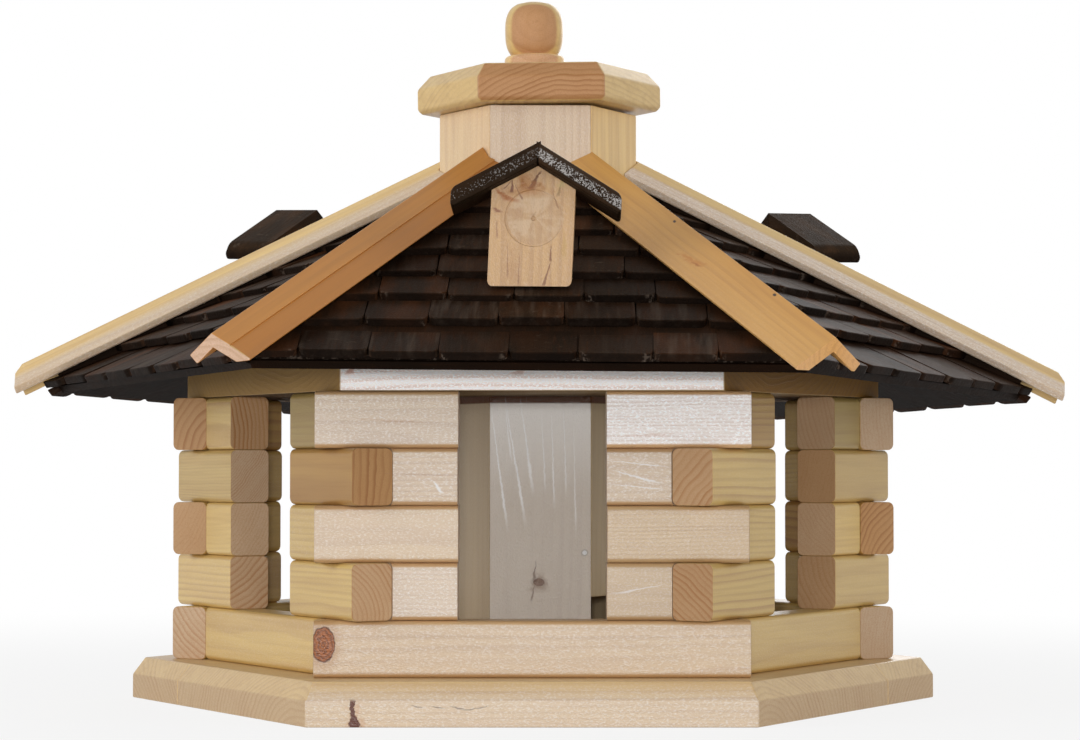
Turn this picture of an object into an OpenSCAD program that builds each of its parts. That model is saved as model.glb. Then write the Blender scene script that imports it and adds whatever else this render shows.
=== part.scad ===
// Six-sided log-cabin bird feeder with a lift-off lid on its seed silo.
// Millimetres, +Z up. The origin is the centre of the floor's underside, and
// the front doorway faces -Y. Faces are counted anticlockwise from the front.

/* [Floor] */
// Length of one side of the six-sided floor
floor_side = 240; // [225:1:280]
// Thickness of the floor
floor_t = 24; // [16:1:32]
// Height of the upright edge below the bevel
floor_edge_h = 14; // [8:1:16]
// Width of the bevel round the top of the floor
floor_bevel_w = 6.5; // [2:0.5:12]
// Width of the small bevel round the floor's underside
floor_foot_w = 1; // [0.5:0.5:3]
// Glued joint between the front and the middle board
joint_front_y = -59; // [-100:1:-30]
// Glued joint between the middle and the back board
joint_back_y = 90; // [30:1:120]

/* [Log walls] */
// Distance from the middle to the outside of a wall
wall_reach = 180; // [160:1:190]
// Thickness of a log, through the wall
log_t = 24.5; // [18:0.5:30]
// Height of a log, and of one course
log_h = 31; // [24:0.5:40]
// Radius of the logs' long edges
log_edge_r = 3.5; // [1:0.5:6]
// Courses above the sill
log_courses = 4; // [3:1:5]
// Width of the doorway in each wall
door_w = 80; // [50:1:90]

/* [Ceiling] */
// Thickness of the board on top of the walls
ceiling_t = 18; // [12:1:24]
// Thickness of the strips that carry the roof
curb_t = 18; // [12:1:24]

/* [Seed silo] */
// Length of one outer side of the six-sided silo
silo_side = 59.5; // [50:0.5:64]
// Thickness of a silo board
silo_board_t = 12; // [8:0.5:16]
// Height of the silo's top above the ground
silo_top_z = 350; // [340:1:380]
// Height of the gap that lets the seed out under two of the boards
seed_gap_h = 38; // [20:1:60]
// Sideways place of the silo, lid and roof
silo_x = 3; // [0:0.5:5]
// Turn of the silo about its axis, in degrees
silo_turn = 1.6; // [-3:0.1:3]

/* [Roof] */
// Slope of the roof's faces, in degrees
roof_slope = 29.8; // [26:0.1:34]
// Distance from the middle to the lower edge of the shingles
eave_reach = 255; // [235:1:270]
// Height of the boarding's top at the eave
eave_z = 181.5; // [178:0.5:190]
// Thickness of the boarding under the shingles
boarding_t = 4.5; // [3:0.5:8]
// Overhang of the shingles past the boarding
shingle_overhang = 5; // [0:0.5:10]
// Rows of shingles
shingle_rows = 8; // [6:1:10]
// Length that shows of the lowest row
first_row_h = 40; // [30:1:50]
// Length that shows of each other row
row_h = 30; // [20:1:36]
// Height of a row above the boarding, at its lower edge
row_butt_t = 8; // [5:0.5:11]
// Height of a row above the boarding, where the next one starts
row_head_t = 3.5; // [2:0.5:5]
// Turn of the roof about the vertical, in degrees
roof_turn = -1.1; // [-3:0.1:3]
// Rise of the roof's front, in degrees
roof_pitch = 1.75; // [0:0.05:2]
// Dip of the roof's right-hand side, in degrees
roof_roll = 0.5; // [0:0.05:1]

/* [Hip strips] */
// Length of a leg of the L-shaped strip
strip_leg = 21.5; // [16:0.5:28]
// Thickness of a leg
strip_t = 6; // [4:0.5:8]
// Angle between the legs, in degrees
strip_angle = 108; // [90:1:130]
// Distance from the middle to the strip's lower end
strip_reach = 315; // [300:1:330]
// Lean of the cut at the strip's lower end, from plumb, in degrees
strip_end_lean = 13; // [0:1:26]

/* [Dormers] */
// Width of the gable block
gable_w = 45.5; // [30:0.5:60]
// Thickness of the gable block
gable_t = 24.5; // [15:0.5:30]
// Distance from the middle to the gable's face
gable_reach = 186; // [150:0.5:210]
// Diameter of the shallow round recess in the gable
recess_d = 32; // [20:1:40]
// Depth of the recess
recess_depth = 1.5; // [0.5:0.5:4]
// Height of the recess' centre above the ground
recess_z = 263.5; // [255:0.5:270]
// Sideways offset of the gable block under its boards
gable_offset = -1.8; // [-3:0.1:3]
// Gap between the gable's foot and the shingles
gable_foot_gap = 1; // [0:0.5:3]
// Height of the dormer's ridge above the ground
ridge_z = 303.5; // [290:0.5:310]
// Slope of the dormer's boards, in degrees
dormer_slope = 30; // [20:0.5:35]
// Thickness of the dormer's boards
dormer_board_t = 9.5; // [6:0.5:12]
// Distance from the ridge to a board's lower edge, seen from above
dormer_half_w = 46; // [30:1:60]
// Length of the boards along the ridge
dormer_board_l = 32; // [30:1:50]
// Overhang of the boards past the gable's face
dormer_overhang = 10.5; // [2:0.5:14]
// Lean of each dormer to its right: front, back right and back left, in degrees
dormer_lean = [2, -1, 2]; // [-3:0.5:3]
// Shift of each dormer to its right: front, back right and back left
dormer_shift = [3, 0, 0]; // [-5:0.5:5]
// Height of each ridge above the common one: front, back right and back left
dormer_lift = [3, 0, 0]; // [-3:0.5:3]
// Lean of the dormers back towards the silo, in degrees
dormer_back_lean = 3; // [0:0.5:4]

/* [Lid] */
// Length of one side of the six-sided lid
lid_side = 73.5; // [66:0.5:80]
// Thickness of the lid
lid_t = 23.5; // [16:0.5:30]
// Height of the lid's upright edge
lid_edge_h = 15; // [8:0.5:20]
// Width of the bevel round the lid's top
lid_bevel_w = 7; // [3:0.5:12]
// Width of the small bevel round the lid's underside
lid_foot_w = 2.5; // [1:0.5:4]
// Turn of the lid about its axis, in degrees
lid_turn = 1.2; // [-3:0.1:3]
// Tilt of the lid where it rests, up on the right, in degrees
lid_tilt = 0.9; // [0:0.1:2]
// Sideways offset of the lid from the silo's axis
lid_offset = 0.8; // [-4:0.1:4]
// Depth of the plug that locates the lid in the silo
plug_h = 12; // [8:1:20]
// Gap all round the plug
plug_gap = 5; // [5:0.5:10]
// Widest diameter of the knob
knob_d = 34.8; // [25:0.2:45]
// Height of the knob above its collar
knob_h = 30.5; // [20:0.5:40]
// Diameter of the knob's collar
collar_d = 36; // [30:0.5:45]
// Height of the collar
collar_h = 13.5; // [5:0.5:20]
// Sideways offset of the knob from the lid's centre
knob_offset = -1.6; // [-5:0.1:5]

/* [Hidden] */
faces = ["front", "front_right", "back_right", "back", "back_left", "front_left"];

fine = 48;
far = 700;
dormer_faces = [0, 2, 4];
plain_faces = [1, 3, 5];
course_count = log_courses + 1;
ceiling_z = floor_t + course_count * log_h;
ceiling_top_z = ceiling_z + ceiling_t;
wall_inside = wall_reach - log_t;
// A long log ends where its inner corner meets the neighbouring wall's outer plane.
long_log_half = (wall_reach + log_t) / sqrt(3);
silo_reach = silo_side * cos(30);
silo_fit = 0.5;
slope_rise = tan(roof_slope);
boarding_reach = eave_reach - shingle_overhang * cos(roof_slope);
hip_slope = atan(slope_rise * cos(30));
// Half of the angle between two roof faces, seen along the hip.
hip_half_angle = atan(1 / (sin(hip_slope) * tan(30)));
ridge_outer_reach = gable_reach + dormer_overhang;

pine = "#e3c48d";
pine_pink = "#d9b48f";
pine_end = "#c79a6b";
pine_orange = "#c98b4b";
stain = "#2b2019";

// ---- Shared shapes ----

// A six-sided prism with flat faces to the front and back.
module hex_prism(side, height) {
    cylinder(r = side, h = height, $fn = 6);
}

// A six-sided slab with a bevel round its top and a small one round its underside.
module bevelled_hex(side, thickness, edge_h, bevel_w, foot_w) {
    reach = side * cos(30);
    intersection_for (k = [0:2])
        rotate([90, 0, 60 * k + 90])
            linear_extrude(4 * side, center = true)
                polygon([
                    [foot_w - reach, 0],
                    [reach - foot_w, 0],
                    [reach, foot_w],
                    [reach, edge_h],
                    [reach - bevel_w, thickness],
                    [bevel_w - reach, thickness],
                    [-reach, edge_h],
                    [-reach, foot_w]
                ]);
}

// Turns the front face's pieces onto another face.
module on_face(k) {
    rotate(60 * k) children();
}

// The sixth part of a plan that belongs to the front face.
module front_sector(bottom_z, top_z) {
    translate([0, 0, bottom_z])
        linear_extrude(top_z - bottom_z)
            polygon([[0, 0], [-far * tan(30), -far], [far * tan(30), -far]]);
}

// Extrudes a section of [distance from the middle, height] along the front face.
module along_front(section, length) {
    rotate([90, 0, 90])
        linear_extrude(length, center = true)
            polygon([for (p = section) [-p[0], p[1]]]);
}

// ---- Floor ----

module floor_slab() {
    bevelled_hex(floor_side, floor_t, floor_edge_h, floor_bevel_w, floor_foot_w);
}

module floor_board(from_y, to_y) {
    intersection() {
        floor_slab();
        translate([-far, from_y, 0]) cube([2 * far, to_y - from_y, floor_t]);
    }
}

module floor_board_front() {
    color(pine) floor_board(-far, joint_front_y);
}

module floor_board_middle() {
    color(pine) floor_board(joint_front_y, joint_back_y);
}

module floor_board_back() {
    color(pine) floor_board(joint_back_y, far);
}

// ---- Log walls ----

// Cross-section of a log with four rounded long edges.
module log_section() {
    translate([0, log_edge_r]) square([log_t, log_h - 2 * log_edge_r]);
    translate([log_edge_r, 0]) square([log_t - 2 * log_edge_r, log_h]);
    for (x = [log_edge_r, log_t - log_edge_r], y = [log_edge_r, log_h - log_edge_r])
        translate([x, y]) circle(r = log_edge_r, $fn = fine);
}

// A log of the front wall between two sideways places.
module log_bar(course, from_x, to_x) {
    translate([from_x, -wall_reach, floor_t + course * log_h])
        rotate([90, 0, 90])
            linear_extrude(to_x - from_x) log_section();
}

// Everything outside the inner face of the wall to the right of the front.
module beyond_right_wall() {
    rotate(60)
        translate([-far, -far, -1]) cube([2 * far, far - wall_inside, far]);
}

// A sill runs under the doorway, so it is one log from end to end.
module long_sill() {
    log_bar(0, -long_log_half, long_log_half);
}

module short_sill() {
    difference() {
        log_bar(0, -wall_reach, wall_reach);
        beyond_right_wall();
        mirror([1, 0, 0]) beyond_right_wall();
    }
}

module long_log_pair(course) {
    for (side = [0, 1])
        mirror([side, 0, 0]) log_bar(course, door_w / 2, long_log_half);
}

// Short logs butt against the inner faces of the neighbouring long ones.
module short_log_pair(course) {
    for (side = [0, 1])
        mirror([side, 0, 0])
            difference() {
                log_bar(course, door_w / 2, wall_reach);
                beyond_right_wall();
            }
}

module long_sills() {
    color(pine_pink)
        for (k = dormer_faces) on_face(k) long_sill();
}

module short_sills() {
    color(pine)
        for (k = plain_faces) on_face(k) short_sill();
}

// Long and short logs take turns up a wall, and round the house.
module long_logs(k) {
    color(pine_pink)
        on_face(k)
            for (course = [2 - k % 2:2:log_courses]) long_log_pair(course);
}

module short_logs(k) {
    color(pine)
        on_face(k)
            for (course = [1 + k % 2:2:log_courses]) short_log_pair(course);
}

// ---- Silo ----

module on_silo_axis(turn) {
    translate([silo_x, 0, 0]) rotate(turn) children();
}

// Room that the silo takes up in the ceiling and the roof.
module silo_room() {
    on_silo_axis(silo_turn)
        hex_prism(silo_side + silo_fit, far);
}

// One of six boards with mitred edges, above the floor by a gap.
module silo_board(k, gap) {
    bottom_z = floor_t + gap;
    color(pine)
        on_silo_axis(silo_turn)
            on_face(k)
                intersection() {
                    translate([-silo_side, -silo_reach, bottom_z])
                        cube([2 * silo_side, silo_board_t, silo_top_z - bottom_z]);
                    front_sector(bottom_z, silo_top_z);
                }
}

// Two opposite boards stop short of the floor and let the seed run out.
function seed_gap(k) = (k == 1 || k == 4) ? seed_gap_h : 0;

// ---- Roof ----

// The roof sits slightly turned and tilted on the walls, as it was nailed on.
module on_roof() {
    translate([silo_x, 0, ceiling_z])
        rotate([-roof_pitch, roof_roll, roof_turn])
            translate([0, 0, -ceiling_z])
                children();
}

// A point above the boarding: up_slope from the eave, and off the surface.
function roof_point(up_slope, off) = [
    eave_reach - up_slope * cos(roof_slope) + off * sin(roof_slope),
    eave_z + up_slope * sin(roof_slope) + off * cos(roof_slope)
];

slope_l = eave_reach / cos(roof_slope);

// The solid under a plane that lies off the boarding by a distance.
module under_plane(off) {
    peak_z = eave_z + eave_reach * slope_rise + off / cos(roof_slope);
    low = roof_point(-shingle_overhang * 12, off);
    for (k = [0:5])
        on_face(k)
            intersection() {
                along_front([[0, 0], [low[0], 0], low, [0, peak_z]], 2 * far);
                front_sector(0, far);
            }
}

module ceiling() {
    color(pine)
        difference() {
            translate([0, 0, ceiling_z])
                hex_prism(wall_reach / cos(30), ceiling_t);
            silo_room();
        }
}

// Strips on the ceiling's edge, with tops cut to the roof's slope.
module curb(set) {
    color(pine)
        intersection() {
            for (k = set)
                on_face(k)
                    intersection() {
                        translate([-far, -wall_reach, ceiling_top_z])
                            cube([2 * far, curb_t, far]);
                        front_sector(0, far);
                    }
            on_roof() under_plane(-boarding_t);
        }
}

module boarding(set) {
    low = boarding_reach;
    start = (eave_reach - low) / cos(roof_slope);
    color(pine)
        difference() {
            on_roof()
                for (k = set)
                    on_face(k)
                        intersection() {
                            along_front([
                                roof_point(start, 0),
                                roof_point(slope_l, 0),
                                roof_point(slope_l, -boarding_t),
                                roof_point(start, -boarding_t)
                            ], 2 * far);
                            front_sector(0, far);
                        }
            silo_room();
        }
}

// Distance up the slope of a row's lower edge.
function row_start(i) = i == 0 ? 0 : first_row_h + (i - 1) * row_h;

// Section through the rows: each is proud at its lower edge and lies on the one below.
shingle_section = concat(
    [roof_point(0, 0)],
    [for (i = [0:shingle_rows - 1], end = [0, 1])
        roof_point(row_start(i + end), end == 0 ? row_butt_t : row_head_t)],
    [roof_point(row_start(shingle_rows), 0)]);

module shingles(set) {
    color(stain)
        difference() {
            on_roof()
                for (k = set)
                    on_face(k)
                        intersection() {
                            along_front(shingle_section, 2 * far);
                            front_sector(0, far);
                        }
            silo_room();
        }
}

// ---- Hip strips ----

// L-shaped section with its ridge at the origin.
module strip_section() {
    half = strip_angle / 2;
    tip = [strip_leg * sin(half), -strip_leg * cos(half)];
    under = [tip[0] - strip_t * cos(half), tip[1] - strip_t * sin(half)];
    polygon([
        [0, 0],
        tip,
        under,
        [0, -strip_t / sin(half)],
        [-under[0], under[1]],
        [-tip[0], tip[1]]
    ]);
}

// Height of the strip's ridge above the shingles: its legs' tips rest on them.
function strip_lift() =
    strip_leg * cos(strip_angle / 2) + strip_t * sin(strip_angle / 2)
    - (strip_leg * sin(strip_angle / 2) - strip_t * cos(strip_angle / 2)) / tan(hip_half_angle);

// Height of the hip of a plane that lies off the boarding, at a distance from the middle.
function hip_z(reach, off) =
    eave_z + (eave_reach / cos(30) - reach) * tan(hip_slope) + off / cos(roof_slope);

// The strip's lower end is cut on a slant, and its upper end meets the silo.
module hip_strip(k, tint) {
    spare = 10;
    end_z = hip_z(strip_reach, row_butt_t) + strip_lift() / cos(hip_slope);
    length = strip_reach / cos(hip_slope);
    color(tint)
        difference() {
            on_roof()
                rotate(60 * k + 30)
                    translate([0, -strip_reach, end_z])
                        difference() {
                            rotate([90 + hip_slope, 0, 0])
                                translate([0, 0, -length])
                                    linear_extrude(length + spare) strip_section();
                            rotate([strip_end_lean, 0, 0])
                                translate([-far, -far, -far / 2]) cube([2 * far, far, far]);
                        }
            silo_room();
        }
}

// ---- Dormers ----

// Height of the dormer boards' underside above the ridge's plan line.
dormer_drop = dormer_board_t / cos(dormer_slope);

// Places a dormer that faces the front on the roof, leaning as it was fixed.
// The leans pivot about the outer end of its ridge.
module on_dormer(i) {
    pivot = [0, -ridge_outer_reach, ridge_z];
    on_roof()
        on_face(dormer_faces[i])
            translate(pivot + [dormer_shift[i], 0, dormer_lift[i]])
                rotate([-dormer_back_lean, dormer_lean[i], 0])
                    translate(-pivot)
                        children();
}

// A block with a pointed top and a shallow recess, down to below the roof's surface.
module gable() {
    peak_z = ridge_z - dormer_drop;
    left_z = peak_z - (gable_w / 2 - gable_offset) * tan(dormer_slope);
    right_z = peak_z - (gable_w / 2 + gable_offset) * tan(dormer_slope);
    difference() {
        translate([gable_offset, gable_t - gable_reach, 0])
            rotate([90, 0, 0])
                linear_extrude(gable_t)
                    polygon([
                        [-gable_w / 2, ceiling_z],
                        [gable_w / 2, ceiling_z],
                        [gable_w / 2, right_z],
                        [-gable_offset, peak_z],
                        [-gable_w / 2, left_z]
                    ]);
        translate([0, recess_depth - gable_reach, recess_z])
            rotate([90, 0, 0])
                cylinder(d = recess_d, h = 2 * recess_depth, $fn = fine);
    }
}

// A gable's foot is cut to the slope, a little clear of the shingles.
module dormer_gables() {
    color(pine_end)
        difference() {
            for (i = [0:2]) on_dormer(i) gable();
            on_roof() under_plane(row_butt_t + gable_foot_gap);
        }
}

// The board on the right of a dormer, seen from in front of it. Its lower end is plumb.
module dormer_board() {
    low_z = ridge_z - dormer_half_w * tan(dormer_slope);
    translate([0, dormer_board_l - ridge_outer_reach, 0])
        rotate([90, 0, 0])
            linear_extrude(dormer_board_l)
                polygon([
                    [0, ridge_z],
                    [dormer_half_w, low_z],
                    [dormer_half_w, low_z - dormer_drop],
                    [0, ridge_z - dormer_drop]
                ]);
}

module dormer_boards(side) {
    color(stain)
        difference() {
            for (i = [0:2]) on_dormer(i) mirror([side, 0, 0]) dormer_board();
            on_roof() under_plane(row_butt_t);
        }
}

// ---- Lid ----

// The lid rests on the silo's left corner and on its plug. Pieces are placed from
// the silo's axis, at the height of the silo's top.
module on_silo_top() {
    translate([silo_x - silo_side, 0, silo_top_z])
        rotate([0, -lid_tilt, 0])
            translate([silo_side, 0, 0])
                children();
}

module lid_cap() {
    color(pine_end)
        on_silo_top()
            translate([lid_offset, 0, 0])
                rotate(lid_turn)
                    bevelled_hex(lid_side, lid_t, lid_edge_h, lid_bevel_w, lid_foot_w);
}

module lid_plug() {
    inner_side = silo_side - (silo_board_t + plug_gap) / cos(30);
    color(pine)
        on_silo_top()
            rotate(silo_turn)
                translate([0, 0, -plug_h])
                    hex_prism(inner_side, plug_h);
}

// Half-width of the knob at a height from -1 to 1 of its half-height.
knob_power = 2.9;
function knob_half_w(u) = knob_d / 2 * pow(1 - pow(abs(u), knob_power), 1 / knob_power);

// Turned knob: a squarish ball, truncated where it runs into its rounded collar.
module lid_knob() {
    steps = 24;
    low = -0.82;
    half_h = knob_h / (1 - low);
    mid_z = collar_h - low * half_h;
    collar_r = collar_d / 2;
    collar_round = 3;
    ball = [for (i = [0:steps])
        let (u = low + (1 - low) * i / steps)
        [knob_half_w(u), mid_z + u * half_h]];
    color(pine_end)
        on_silo_top()
            translate([knob_offset, 0, lid_t])
                rotate_extrude($fn = fine)
                    union() {
                        square([collar_r, collar_h - collar_round]);
                        square([collar_r - collar_round, collar_h]);
                        translate([collar_r - collar_round, collar_h - collar_round])
                            circle(r = collar_round, $fn = fine);
                        polygon(concat([[0, 0], [ball[0][0], 0]], ball, [[0, mid_z + half_h]]));
                    }
}

// ---- Nodes ----

floor_board_front();
floor_board_middle();
floor_board_back();
long_sills();
short_sills();
ceiling();
curb(dormer_faces);  // curb_under_dormers
curb(plain_faces);  // curb_plain_sides
boarding(dormer_faces);  // boarding_under_dormers
boarding(plain_faces);  // boarding_plain_sides
shingles(dormer_faces);  // shingles_under_dormers
shingles(plain_faces);  // shingles_plain_sides
dormer_gables();
dormer_boards(1);  // dormer_boards_left
dormer_boards(0);  // dormer_boards_right
lid_cap();
lid_plug();
lid_knob();
for (k = [0:5]) {
    long_logs(k);
    short_logs(k);
    silo_board(k, seed_gap(k));
    hip_strip(k, k == 5 ? pine_orange : pine);
}
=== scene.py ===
import math
import random
import bpy
import numpy as np
from mathutils import Matrix, Vector


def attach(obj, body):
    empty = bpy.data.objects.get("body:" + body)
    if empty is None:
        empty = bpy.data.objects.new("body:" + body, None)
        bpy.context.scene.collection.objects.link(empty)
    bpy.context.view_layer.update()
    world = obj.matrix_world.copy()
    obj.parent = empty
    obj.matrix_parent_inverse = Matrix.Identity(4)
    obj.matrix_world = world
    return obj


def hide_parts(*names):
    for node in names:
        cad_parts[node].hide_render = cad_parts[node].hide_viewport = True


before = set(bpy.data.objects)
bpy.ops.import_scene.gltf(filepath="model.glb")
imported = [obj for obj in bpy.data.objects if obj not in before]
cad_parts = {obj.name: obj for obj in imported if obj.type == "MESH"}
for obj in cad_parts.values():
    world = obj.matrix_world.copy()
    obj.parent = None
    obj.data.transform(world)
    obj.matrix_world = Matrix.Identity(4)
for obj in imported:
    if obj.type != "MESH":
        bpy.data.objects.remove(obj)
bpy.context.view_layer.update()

chance = random.Random(11)
mm = 0.001
tiny = 0.0001  # how near a vertex has to lie to count as on a face
eastWest, northSouth, upright = Vector((1, 0, 0)), Vector((0, 1, 0)), Vector((0, 0, 1))
halfSixth = math.radians(30)  # half of the sixth of a turn that one face takes up
faceNames = ["front", "front_right", "back_right", "back", "back_left", "front_left"]


def takeUp(*pieces):
    bpy.ops.object.select_all(action="DESELECT")
    for piece in pieces:
        piece.select_set(True)
    bpy.context.view_layer.objects.active = pieces[0]


def openUp(piece, kind, test):
    # edit mode, with only the vertices, edges or faces that pass the test picked
    takeUp(piece)
    bpy.ops.object.mode_set(mode="EDIT")
    bpy.ops.mesh.select_mode(type=kind)
    bpy.ops.mesh.select_all(action="DESELECT")
    bpy.ops.object.mode_set(mode="OBJECT")
    mesh = piece.data
    for part in {"VERT": mesh.vertices, "EDGE": mesh.edges, "FACE": mesh.polygons}[kind]:
        part.select = bool(test(part))
    bpy.ops.object.mode_set(mode="EDIT")


def shut():
    bpy.ops.object.mode_set(mode="OBJECT")


def everything(part):
    return True


def endsOf(piece, edge):
    return [piece.data.vertices[i].co for i in edge.vertices]


def edgeWay(piece, edge):
    start, end = endsOf(piece, edge)
    return (end - start).normalized()


def settle(piece, place=None):
    # the piece ends up in its place with its own origin at the middle of the floor
    if place is not None:
        piece.matrix_world = place @ piece.matrix_world
    takeUp(piece)
    bpy.ops.object.transform_apply(location=True, rotation=True, scale=True)
    return piece


def added(name, operator, **settings):
    bpy.ops.object.select_all(action="DESELECT")
    operator(**settings)
    piece = bpy.context.object
    piece.name = name
    return settle(piece)


def addBlock(name, size, centre=(0, 0, 0)):
    return added(name, bpy.ops.mesh.primitive_cube_add, size=1, location=centre, scale=size)


def addSixSided(name, side, height, bottom):
    # flats to the front and back, corners on the left and right
    return added(name, bpy.ops.mesh.primitive_cylinder_add, vertices=6, radius=side, depth=height,
                 location=(0, 0, bottom + height / 2), rotation=(0, 0, math.radians(90)))


def copyOf(piece, name, place=None):
    twin = piece.copy()
    twin.data = piece.data.copy()
    twin.name = name
    bpy.context.scene.collection.objects.link(twin)
    if place is not None:
        twin.data.transform(place)
    return twin


def removed(piece):
    bpy.data.objects.remove(piece)


def cutOff(piece, point, outward, close=True, away=True):
    # takes away what lies beyond a plane and closes the cut
    openUp(piece, "VERT", everything)
    bpy.ops.mesh.bisect(plane_co=point, plane_no=outward, use_fill=close, clear_outer=away)
    shut()


def scored(piece, point, way):
    # a row of new vertices where a plane meets the piece
    cutOff(piece, point, way, close=False, away=False)


def bevelled(piece, width, segments, test):
    openUp(piece, "EDGE", test)
    bpy.ops.mesh.bevel(offset=width, segments=segments)
    shut()


def pushed(piece, way, test):
    openUp(piece, "VERT", test)
    bpy.ops.transform.translate(value=way)
    shut()


def pulledOut(piece, test, way, size):
    # extrudes the picked faces, and widens or narrows their new place
    openUp(piece, "FACE", test)
    bpy.ops.mesh.extrude_region_move(TRANSFORM_OT_translate={"value": way})
    bpy.ops.transform.resize(value=size)
    shut()


def rightWayOut(piece):
    openUp(piece, "VERT", everything)
    bpy.ops.mesh.remove_doubles(threshold=0.00001)
    bpy.ops.mesh.normals_make_consistent(inside=False)
    shut()


def applied(piece, kind, **settings):
    takeUp(piece)
    step = piece.modifiers.new(kind.lower(), kind)
    for key, value in settings.items():
        setattr(step, key, value)
    bpy.ops.object.modifier_apply(modifier=step.name)


def carved(piece, cutter):
    # takes the cutter's room out of the piece
    applied(piece, "BOOLEAN", object=cutter, operation="DIFFERENCE", solver="EXACT")


def cutOut(piece, cutter):
    carved(piece, cutter)
    removed(cutter)


def soften(piece, width, segments=2, angle=30):
    applied(piece, "BEVEL", width=width, segments=segments, limit_method="ANGLE",
            angle_limit=math.radians(angle))


def smooth(piece, angle=35):
    takeUp(piece)
    bpy.ops.object.shade_smooth_by_angle(angle=math.radians(angle))
    return piece


def joined(name, pieces):
    takeUp(*pieces)
    if len(pieces) > 1:
        bpy.ops.object.join()
    piece = bpy.context.object
    piece.name = name
    piece.data.name = name
    return piece


def grown(piece, along, up, heart, gap, depth, tone, warmth, gloss=0.5):
    # how the piece lies in its tree: the way its fibres run, where the heart is, how far apart the rings are
    along = Vector(along).normalized()
    up = (Vector(up) - along * Vector(up).dot(along)).normalized()
    across = up.cross(along)
    shift = chance.uniform(-5, 5)
    mesh = piece.data
    count = len(mesh.vertices)
    places = np.zeros(count * 3, np.float32)
    mesh.vertices.foreach_get("co", places)
    places = places.reshape(-1, 3) - np.array(heart, np.float32)
    inTree = places @ np.array([along, across, up], np.float32).T
    inTree[:, 0] += shift
    for label, values in (("grainPlace", inTree), ("grainWay", along), ("grainLook", (gap * 100, depth, tone)),
                          ("grainTint", (warmth, shift, gloss))):
        layer = mesh.attributes.get(label) or mesh.attributes.new(label, "FLOAT_VECTOR", "POINT")
        spread = np.broadcast_to(np.array(values, np.float32), (count, 3))
        layer.data.foreach_set("vector", np.ascontiguousarray(spread).ravel())
    return piece


def retinted(piece, test, tone, warmth, gloss, depth=None):
    # other colours on the vertices that pass the test, running softly into the rest
    look, tint = (piece.data.attributes[label].data for label in ("grainLook", "grainTint"))
    for vertex in piece.data.vertices:
        if test(vertex.co):
            look[vertex.index].vector.z = tone
            tint[vertex.index].vector.x = warmth
            tint[vertex.index].vector.z = gloss
            if depth is not None:
                look[vertex.index].vector.y = depth


def finished(piece, body, finish, node):
    smooth(piece, 38)
    applied(piece, "WEIGHTED_NORMAL", mode="FACE_AREA", weight=50, keep_sharp=True)  # keeps flat faces flat
    piece.data.materials.clear()
    piece.data.materials.append(finish)
    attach(piece, body)
    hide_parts(node)


def atFace(k):
    return Matrix.Rotation(math.radians(60 * k), 4, "Z")


def turned(degrees, axis):
    return Matrix.Rotation(math.radians(degrees), 4, axis)


class Wire:
    # a socket that sums can be written on
    def __init__(self, recipe, socket):
        self.recipe = recipe
        self.socket = socket

    def sum(self, operation, *values):
        return self.recipe.add("ShaderNodeMath", {"operation": operation}, dict(enumerate(values)))

    def __add__(self, other):
        return self.sum("ADD", self, other)

    def __radd__(self, other):
        return self.sum("ADD", other, self)

    def __sub__(self, other):
        return self.sum("SUBTRACT", self, other)

    def __rsub__(self, other):
        return self.sum("SUBTRACT", other, self)

    def __mul__(self, other):
        return self.sum("MULTIPLY", self, other)

    def __rmul__(self, other):
        return self.sum("MULTIPLY", other, self)

    def __truediv__(self, other):
        return self.sum("DIVIDE", self, other)

    def size(self):
        return self.sum("ABSOLUTE", self)

    def root(self):
        return self.sum("SQRT", self)

    def part(self):
        return self.sum("FRACT", self)

    def whole(self):
        return self.sum("FLOOR", self)

    def least(self, other):
        return self.sum("MINIMUM", self, other)

    def most(self, other):
        return self.sum("MAXIMUM", self, other)

    def rise(self, low, high, start=0.0, end=1.0):
        # goes smoothly from start to end as the value goes from low to high
        return self.recipe.add("ShaderNodeMapRange", {"interpolation_type": "SMOOTHSTEP"},
                               {"Value": self, "From Min": low, "From Max": high, "To Min": start, "To Max": end})


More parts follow.
